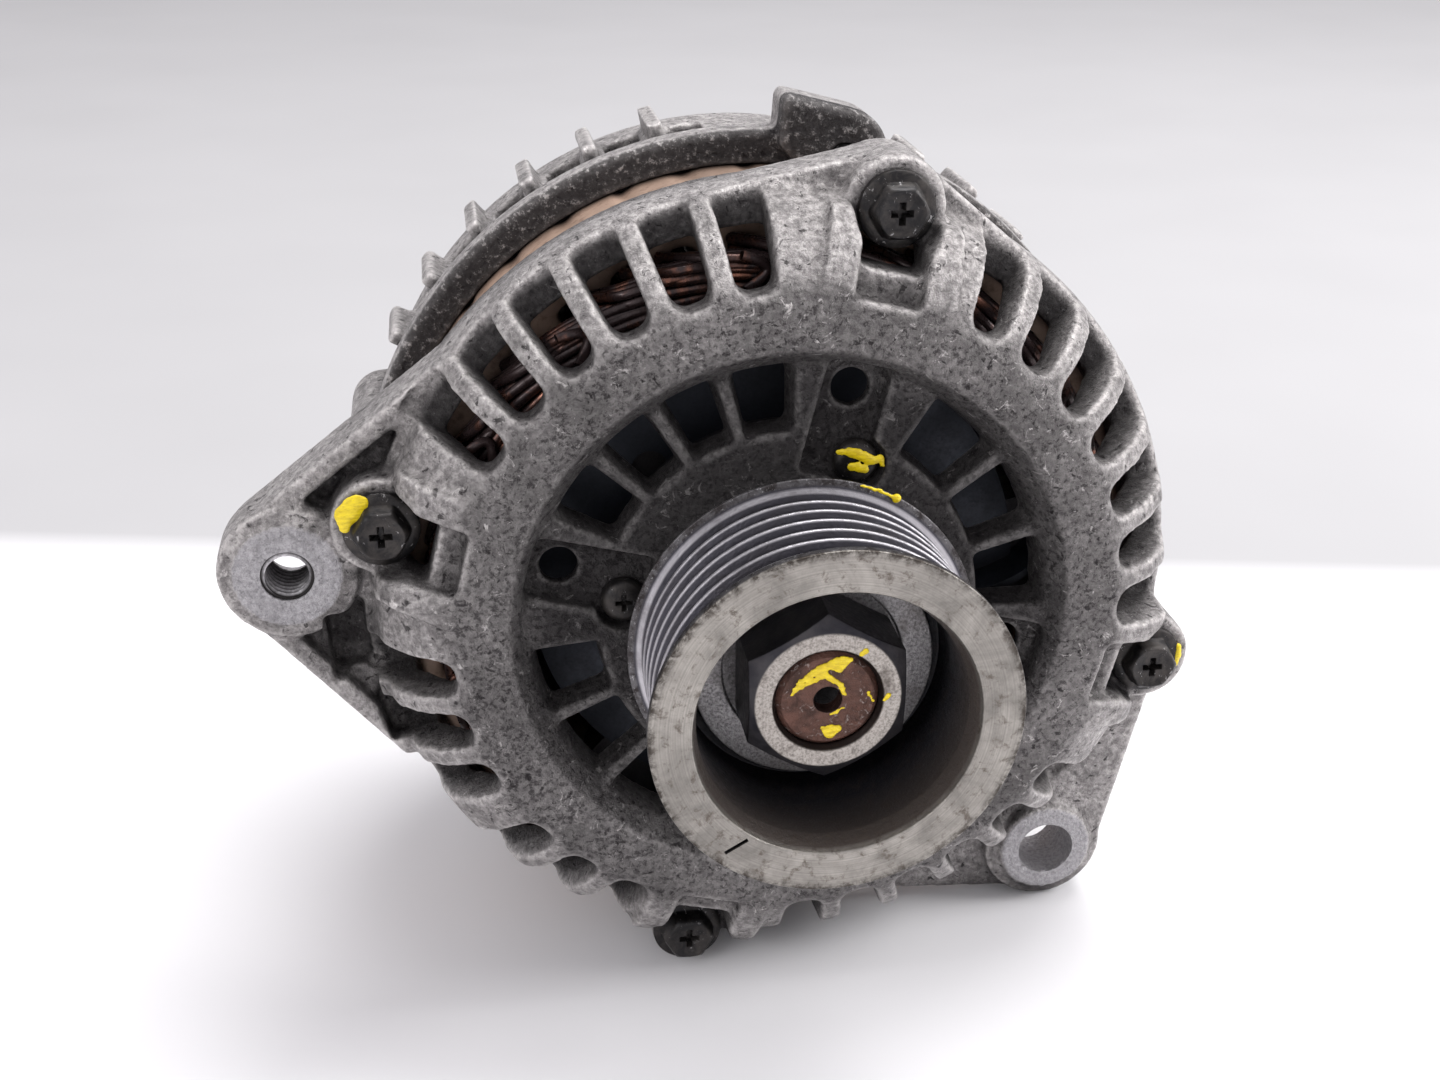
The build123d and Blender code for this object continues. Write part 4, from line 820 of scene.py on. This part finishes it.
class ALTERNATOR_OT_windings(PieceOperator, bpy.types.Operator):
    """Adds the stator winding as overlapping bundles of wire at each end of the core"""

    bl_idname = "alternator.windings"
    bl_label = "Stator Windings"

    def coil_head(self, rng, face, tip, way, wire):
        """Bundles that leave the core, run round the head and go back in, in millimetres."""
        lines = []
        for slot in range(CORE_SLOTS):
            start = SLOT_STEP * slot + FIRST_SLOT
            reach = rng.uniform(38.0, 46.0)
            for strand in range(6):
                side = strand % 2
                level = strand // 2
                depth = tip - way * (0.9 + 1.75 * level + rng.uniform(-0.2, 0.35))
                r_in = 52.6 + 1.7 * side + rng.uniform(-0.15, 0.15)
                r_out = 57.2 + 1.7 * side + rng.uniform(-0.25, 0.25)
                line = []
                for step in range(15):
                    t = step / 14
                    lift = min(1.0, min(t, 1 - t) / 0.16)
                    lift = lift * lift * (3 - 2 * lift)
                    angle = math.radians(start + reach * t + rng.uniform(-0.25, 0.25))
                    radius = r_in + (r_out - r_in) * (t * t * (3 - 2 * t)) + rng.uniform(-0.16, 0.16)
                    along = face + (depth - face) * lift + rng.uniform(-0.14, 0.14)
                    radius = min(radius, 60.3 - wire)
                    line.append(around(radius, along, angle))
                lines.append(line)
        return lines

    def lacing(self, rng, tip, way):
        """Short loops of wire that cross over the bundles."""
        lines = []
        for angle in LACING_ANGLES:
            turn = math.radians(angle)
            line = []
            for step in range(11):
                t = step / 10
                bend = math.sin(math.pi * t)
                a = turn + math.radians(4.0 * bend * way)
                radius = 53.4 + 5.6 * t
                along = tip + way * (0.1 + 1.1 * (1 - bend)) + rng.uniform(-0.05, 0.05)
                line.append(around(radius, along, a))
            lines.append(line)
        return lines

    def execute(self, context):
        sizes, colours = settings(context)
        wire = sizes.wire / MM
        rng = random.Random(11)
        front = self.coil_head(rng, 41.6, 31.2 + wire, -1, wire)
        rear = self.coil_head(rng, 73.8, 86.0 - wire, 1, wire)
        bars = []
        for slot in range(CORE_SLOTS):
            angle = math.radians(SLOT_STEP * slot + FIRST_SLOT)
            for radius in (52.4, 54.2, 56.0, 57.8):
                bars.append([around(radius, along, angle) for along in (41.0, 50.0, 60.0, 68.0, 74.6)])
        mesh = tubes("stator_wires", front + rear + bars + self.lacing(rng, 31.2 + wire, -1), sizes.wire)
        low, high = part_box("stator_winding")
        store(mesh, np.clip(points_of(mesh), np.array(low), np.array(high)))
        material = winding_finish("varnished_copper", colours.copper)
        place("stator_wires", mesh, "housing", material, ["stator_winding"])
        return {"FINISHED"}


class ALTERNATOR_OT_pulley(PieceOperator, bpy.types.Operator):
    """Adds the turned pulley with rounded ridges and a nick in its rim"""

    bl_idname = "alternator.pulley"
    bl_label = "Pulley"

    def execute(self, context):
        sizes, colours = settings(context)
        low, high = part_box("pulley")
        front, rear = low.y / MM, high.y / MM
        flange, ridge, pitch = sizes.flange / MM, sizes.ridge / MM, sizes.groove_pitch / MM
        outline = [(flange, front), (flange, front + 1.7)]
        for step in range(-3, 4):
            groove = step * pitch
            outline += [
                (ridge, groove - pitch / 2 + 0.30), (ridge - 2.9, groove - 0.34),
                (ridge - 2.9, groove + 0.34), (ridge, groove + pitch / 2 - 0.30),
            ]
        outline += [
            (flange, rear - 0.5), (flange, rear), (23.0, rear), (21.0, rear - 1.2),
            (15.4, rear - 1.2), (15.4, rear), (8.6, rear), (8.6, 6.5), (14.3, 6.4), (14.3, 5.2),
            (19.1, 5.2), (19.4, 8.2), (21.0, 8.2), (20.6, front + 4.0), (21.7, front),
        ]
        mesh = lathe("pulley_turned", rounded(outline, 0.32), 224)
        cutter = bmesh.new()
        at = Matrix.Translation((-0.0152, front * MM, -0.0190))
        turn = Matrix.Rotation(math.radians(-30.0), 4, "Y")
        size = Matrix.Diagonal((0.0040, 0.0016, 0.00060, 1.0))
        bmesh.ops.create_cube(cutter, size=1.0, matrix=at @ turn @ size)
        mesh = cut(mesh, finished(cutter, "pulley_nick"))
        set_shading(mesh, 42)
        place(
            "pulley_turned", mesh, "rotor", pulley_finish("worn_pulley", colours.pulley),
            ["pulley"],
        )
        return {"FINISHED"}


class ALTERNATOR_OT_ear_thread(PieceOperator, bpy.types.Operator):
    """Adds the thread inside the left ear"""

    bl_idname = "alternator.ear_thread"
    bl_label = "Ear Thread"

    def at(self, radius, y, angle):
        return (LEFT_EAR[0] + radius * math.cos(angle), y, LEFT_EAR[1] + radius * math.sin(angle))

    def execute(self, context):
        sizes, colours = settings(context)
        crest, root, pitch = sizes.thread_crest, sizes.thread_root, sizes.thread_pitch
        count, steps = 64, 120
        front, rear = 0.0321, 0.0424
        made = bmesh.new()
        crests = made.verts.layers.float.new("crest")
        rows = []
        for row in range(steps + 1):
            y = front + (rear - front) * row / steps
            ring = []
            for k in range(count):
                angle = 2 * math.pi * k / count
                phase = (y / pitch + k / count) % 1.0
                radius = crest + (root - crest) * (1 - abs(2 * phase - 1))
                vertex = made.verts.new(self.at(radius, y, angle))
                vertex[crests] = (root - radius) / (root - crest)
                ring.append(vertex)
            rows.append(ring)
        skin(made, rows)
        for ring, way in ((rows[0], 1), (rows[-1], -1)):
            lip = [
                made.verts.new(self.at(0.0045, ring[k].co.y, 2 * math.pi * k / count)) for k in range(count)
            ]
            skin(made, [ring, lip][::way])
        mesh = finished(made, "ear_thread")
        set_shading(mesh, 50)
        place("ear_thread", mesh, "housing", thread_finish("cut_thread", colours.machined))
        return {"FINISHED"}


class ALTERNATOR_OT_fasteners(PieceOperator, bpy.types.Operator):
    """Adds the through bolts and the retainer screws, with rounded heads and cross recesses"""

    bl_idname = "alternator.fasteners"
    bl_label = "Bolts and Screws"

    def turned(self, name, centres, rings, recess, steps=60):
        """Closed columns of (y, radius, share of hexagon) rings in millimetres, each with a tapered cross."""
        made, cutter = bmesh.new(), bmesh.new()
        for x, z in centres:
            rows = []
            for y, radius, hexed in rings:
                row = []
                for step in range(steps):
                    angle = 2 * math.pi * step / steps
                    corner = math.cos(math.pi / 6) / math.cos(angle % (math.pi / 3) - math.pi / 6)
                    reach = radius * (1 - hexed + hexed * min(corner, 0.975))
                    across, up = x + reach * math.cos(angle), z + reach * math.sin(angle)
                    row.append(made.verts.new((across * MM, y * MM, up * MM)))
                rows.append(row)
            skin(made, rows)
            made.faces.new(rows[0])
            made.faces.new(rows[-1])
            width, span, deep = recess
            for turn in (0.0, 90.0):
                spot = Matrix.Translation((x * MM, rings[0][0] * MM, z * MM))
                spot = spot @ Matrix.Rotation(math.radians(turn), 4, "Y")
                size = Matrix.Diagonal((span * MM, 2 * deep * MM, width * MM, 1.0))
                cube = bmesh.ops.create_cube(cutter, size=1.0, matrix=spot @ size)
                for vertex in cube["verts"]:
                    if vertex.co.y > rings[0][0] * MM:
                        middle = Vector((x * MM, vertex.co.y, z * MM))
                        vertex.co = middle + (vertex.co - middle) * 0.45
        bmesh.ops.recalc_face_normals(made, faces=made.faces)
        mesh = cut(finished(made, name), finished(cutter, name + "_cross"), overlaps=True)
        set_shading(mesh, 38)
        return mesh

    def execute(self, context):
        black = bolt_finish("black_oxide")
        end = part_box("through_bolts")[1].y / MM
        bolts = on_circle(BOLT_CIRCLE, BOLT_ANGLES)
        rings = [
            (26.35, 2.9, 0.0), (26.0, 3.35, 0.0), (25.95, 3.75, 0.2), (26.15, 4.15, 0.6),
            (26.6, 4.6, 0.95), (28.5, 4.75, 1.0), (28.9, 4.9, 0.7), (29.05, 5.7, 0.0),
            (29.35, 6.1, 0.0), (30.1, 6.2, 0.0), (30.4, 6.1, 0.0), (30.4, 2.4, 0.0),
            (end - 0.5, 2.4, 0.0), (end, 2.0, 0.0),
        ]
        mesh = self.turned("bolt_set", bolts, rings, (1.5, 5.0, 1.9))
        place("bolt_set", mesh, "housing", black, ["through_bolts"])
        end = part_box("retainer_screws")[1].y / MM
        screws = on_circle(SCREW_CIRCLE, SCREW_ANGLES)
        rings = [
            (24.62, 1.6, 0.0), (24.75, 2.5, 0.0), (25.1, 3.2, 0.0), (25.7, 3.62, 0.0),
            (26.6, 3.75, 0.0), (27.0, 3.7, 0.0), (27.0, 1.9, 0.0), (end, 1.9, 0.0),
        ]
        mesh = self.turned("screw_set", screws, rings, (1.1, 4.0, 1.5))
        place("screw_set", mesh, "housing", black, ["retainer_screws"])
        return {"FINISHED"}


class ALTERNATOR_OT_stator_core(CastingOperator, bpy.types.Operator):
    """Adds the stator core with soft lobes round its outside"""

    bl_idname = "alternator.stator_core"
    bl_label = "Stator Core"

    def execute(self, context):
        mesh, co = self.casting("stator_core", CORE_GRAIN, 5)
        store(mesh, self.keep_in_box(co, "stator_core"))
        set_shading(mesh)
        finish = lamination_finish("lacquered_laminations", context.scene.alternator_colours.laminations)
        place("stator_core_soft", mesh, "housing", finish, ["stator_core"])
        return {"FINISHED"}


class ALTERNATOR_OT_paint_marks(PieceOperator, bpy.types.Operator):
    """Adds the yellow paint marks on the bolts, the retainer screw, the pulley and the shaft end"""

    bl_idname = "alternator.paint_marks"
    bl_label = "Paint Marks"

    def execute(self, context):
        material = paint_finish("inspection_paint", context.scene.alternator_colours.paint)
        flange, screw, end, face = 28.9, 24.5, -5.95, -6.42
        marks = (
            ("housing", "paint_left_bolt", 40, 0.34, [
                stroke(
                    flange, (-71.0, 17.9, 1.0), (-70.5, 19.9, 1.7), (-69.2, 21.3, 1.8), (-67.8, 22.0, 1.2)
                ),
                stroke(flange, (-69.7, 19.6, 1.2), (-68.4, 20.6, 1.4)),
            ]),
            ("housing", "paint_right_bolt", 41, 1.0, [
                [((70.9, 29.4, -14.6), 0.55), ((71.0, 29.6, -16.6), 0.8), ((70.6, 29.6, -18.6), 0.5)],
            ]),
            ("housing", "paint_retainer_screw", 42, 0.45, [
                stroke(
                    screw, (7.6, 27.7, 0.5), (9.6, 27.5, 0.8), (11.7, 26.7, 0.95), (12.9, 25.8, 0.8),
                    (14.4, 26.1, 0.75),
                ),
                stroke(screw, (9.8, 25.1, 0.8), (12.0, 24.4, 0.75)),
                stroke(screw, (14.4, 26.1, 0.6), (14.9, 24.8, 0.4)),
            ]),
            ("rotor", "paint_shaft_end", 40, 0.32, [
                stroke(
                    end, (-5.6, 1.4, 0.35), (-4.1, 3.4, 0.5), (-1.3, 5.3, 0.72), (1.3, 6.4, 0.8),
                    (3.3, 6.6, 0.55),
                ),
                stroke(end, (0.4, 5.4, 0.4), (1.6, 5.0, 0.55), (2.9, 5.9, 0.4)),
                stroke(end, (-5.3, 1.7, 0.3), (-3.1, 2.9, 0.42), (-0.6, 4.2, 0.6)),
                stroke(end, (-1.2, 5.0, 0.45), (0.2, 3.7, 0.6), (1.9, 2.4, 0.55), (2.6, 0.6, 0.36)),
                stroke(end, (2.4, -1.5, 0.32), (0.6, -2.6, 0.38)),
                stroke(end, (-0.8, -4.8, 0.4), (0.4, -5.6, 0.95), (1.6, -5.1, 0.75)),
                stroke(end, (0.2, -4.6, 0.5), (1.0, -4.7, 0.5)),
                stroke(end, (6.2, 0.6, 0.35), (7.0, -0.8, 0.3)),
            ]),
            ("rotor", "paint_nut_face", 41, 0.32, [
                stroke(face, (8.7, -0.4, 0.4), (9.2, 0.2, 0.55)),
                stroke(face, (4.7, 7.5, 0.45), (5.4, 8.1, 0.6)),
            ]),
            ("rotor", "paint_pulley_flange", 42, 0.8, [
                stroke(12.7, (8.6, 26.6, 0.28), (11.6, 25.5, 0.34), (13.6, 24.4, 0.30)),
                stroke(12.6, (14.1, 24.1, 0.75), (14.3, 24.0, 0.75)),
            ]),
        )
        for body, name, seed, thin, strokes in marks:
            place(name, smeared(name, strokes, seed, thin), body, material)
        return {"FINISHED"}


class ALTERNATOR_OT_finishes(PieceOperator, bpy.types.Operator):
    """Gives every remaining CAD part its finish"""

    bl_idname = "alternator.finishes"
    bl_label = "Part Finishes"

    def execute(self, context):
        colours = context.scene.alternator_colours
        plated = steel_finish("zinc_plated", (0.46, 0.45, 0.42), low=0.3, high=0.5)
        ground = steel_finish("ground_steel", (0.55, 0.55, 0.56), low=0.12, high=0.3, hollow_shade=0.4)
        iron = steel_finish("forged_iron", (0.045, 0.042, 0.045), metallic=0.6, low=0.4, high=0.65)
        alloy = steel_finish("pressed_alloy", (0.52, 0.52, 0.53), low=0.35, high=0.55)
        brass = steel_finish("tinned_brass", (0.55, 0.48, 0.33), low=0.25, high=0.42)
        ring = steel_finish("slip_ring_copper", (0.62, 0.30, 0.17), low=0.15, high=0.32, hollow_shade=0.3)
        fan = steel_finish("fan_steel", (0.020, 0.023, 0.032), metallic=0.5, low=0.35, high=0.6)
        plastic = plastic_finish("glass_filled_black", (0.016, 0.016, 0.018))
        housing_plastic = plastic_finish("socket_black", (0.022, 0.022, 0.024))
        graphite = steel_finish("graphite", (0.03, 0.03, 0.032), metallic=0.2, low=0.45, high=0.65)
        coil = winding_finish("field_wire", tint(colours.copper, 1.3))
        copper = steel_finish("lead_copper", (0.50, 0.22, 0.12), low=0.3, high=0.45)
        finishes = {
            "pulley_nut": nut_finish("phosphated_nut"),
            "rotor_shaft": shaft_finish("turned_shaft", colours.rust),
        }
        for material, names in (
            (iron, "bearing_retainer front_claw_pole rear_claw_pole"),
            (
                plated,
                "spacer_collar front_brush_spring rear_brush_spring positive_diodes negative_diodes "
                "rectifier_screws stud_nut",
            ),
            (coil, "field_coil"),
            (plastic, "field_coil_bobbin slip_ring_sleeve brush_holder regulator rear_bearing_sleeve"),
            (fan, "front_fan rear_fan"),
            (ring, "slip_rings"),
            (graphite, "front_brush rear_brush"),
            (alloy, "regulator_heat_sink rectifier_positive_plate rectifier_negative_plate"),
            (housing_plastic, "plug_socket terminal_board stud_insulator"),
            (brass, "plug_pins battery_stud"),
            (copper, "stator_leads"),
            (
                ground,
                "front_bearing_outer_race front_bearing_inner_race front_bearing_balls "
                "rear_bearing_outer_race rear_bearing_inner_race rear_bearing_balls",
            ),
        ):
            finishes.update(dict.fromkeys(names.split(), material))
        for name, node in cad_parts.items():
            if node.hide_render:
                continue
            if name not in finishes:
                raise RuntimeError(f"{name} has no finish")
            node.data.materials.clear()
            node.data.materials.append(finishes[name])
        return {"FINISHED"}


class ALTERNATOR_OT_stage(PieceOperator, bpy.types.Operator):
    """Adds the floor, the lights, the surroundings and the camera"""

    bl_idname = "alternator.stage"
    bl_label = "Stage"

    def lamp(self, name, at, aim, size, watts):
        light = bpy.data.lights.new(name, "AREA")
        light.shape = "RECTANGLE"
        light.size, light.size_y = size
        light.energy = watts
        made = linked(name, light)
        made.location = at
        made.rotation_euler = (Vector(aim) - Vector(at)).to_track_quat("-Z", "Y").to_euler()

    def execute(self, context):
        scene = context.scene
        ground = min(CAD_BOX[0][2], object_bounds()[0].z)
        half = 1.6
        made = bmesh.new()
        corners = [
            made.verts.new((x * half, y * half, ground)) for x, y in ((-1, -1), (1, -1), (1, 1), (-1, 1))
        ]
        made.faces.new(corners)
        mesh = finished(made, "floor")
        finish = Finish("pale_floor", roughness=0.55)
        tone = scene.alternator_colours.floor
        soft = finish.noise(9.0, 2.0)
        near = finish.fade(soft, 0.3, 0.7, tint(tone, 0.985), tone)
        far = finish.fade(soft, 0.3, 0.7, tint(tone, 0.52), tint(tone, 0.54))
        edge = finish.maths("ADD", finish.axis(1), finish.times(finish.axis(0), 0.215))
        finish.base(finish.fade(edge, 0.190, 0.212, near, far))
        finish.bumps((soft, 0.002, 0.05))
        mesh.materials.append(finish.material)
        linked("floor", mesh)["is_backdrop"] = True

        world = bpy.data.worlds.new("studio")
        scene.world = world
        world.use_nodes = True
        sky = world.node_tree.nodes["Background"]
        sky.inputs["Color"].default_value = (0.985, 0.965, 1.0, 1.0)
        sky.inputs["Strength"].default_value = 0.80
        centre = (0.0, 0.03, 0.0)
        self.lamp("softbox_above", (0.40, 0.45, 1.60), centre, (1.1, 0.8), 24.0)
        self.lamp("softbox_right", (1.20, -0.10, 0.70), centre, (0.7, 0.7), 15.0)
        self.lamp("softbox_left", (-1.00, -0.80, 0.65), centre, (0.6, 0.5), 4.5)

        lens = bpy.data.cameras.new("camera")
        lens.lens = 45.0
        lens.sensor_width = 36.0
        lens.clip_start = 0.01
        lens.clip_end = 20.0
        camera = linked("camera", lens)
        camera.location = (-0.05237, -0.23719, 0.13190)
        aim = Vector((-0.012375, 0.0197, 0.01577))
        camera.rotation_euler = (aim - camera.location).to_track_quat("-Z", "Y").to_euler()
        scene.camera = camera
        scene.view_settings.view_transform = "Standard"
        return {"FINISHED"}


class ALTERNATOR_PT_panel(bpy.types.Panel):
    """Lists the alternator's pieces"""

    bl_label = "Alternator"
    bl_idname = "ALTERNATOR_PT_panel"
    bl_space_type = "VIEW_3D"
    bl_region_type = "UI"
    bl_category = "Alternator"

    def draw(self, context):
        layout = self.layout
        for operator in STEPS:
            layout.operator(operator.bl_idname)
        for group in (context.scene.alternator_sizes, context.scene.alternator_colours):
            for name in group.__annotations__:
                layout.prop(group, name)


STEPS = (
    ALTERNATOR_OT_front_casting,
    ALTERNATOR_OT_rear_casting,
    ALTERNATOR_OT_windings,
    ALTERNATOR_OT_pulley,
    ALTERNATOR_OT_ear_thread,
    ALTERNATOR_OT_fasteners,
    ALTERNATOR_OT_stator_core,
    ALTERNATOR_OT_paint_marks,
    ALTERNATOR_OT_finishes,
    ALTERNATOR_OT_stage,
)
CLASSES = (AlternatorSizes, AlternatorColours, *STEPS, ALTERNATOR_PT_panel)


def register():
    for made in CLASSES:
        bpy.utils.register_class(made)
    bpy.types.Scene.alternator_sizes = bpy.props.PointerProperty(type=AlternatorSizes)
    bpy.types.Scene.alternator_colours = bpy.props.PointerProperty(type=AlternatorColours)


def unregister():
    del bpy.types.Scene.alternator_colours
    del bpy.types.Scene.alternator_sizes
    for made in reversed(CLASSES):
        bpy.utils.unregister_class(made)


def main():
    register()
    for step in STEPS:
        group, name = step.bl_idname.split(".")
        getattr(getattr(bpy.ops, group), name)()


if __name__ == "__main__":
    main()
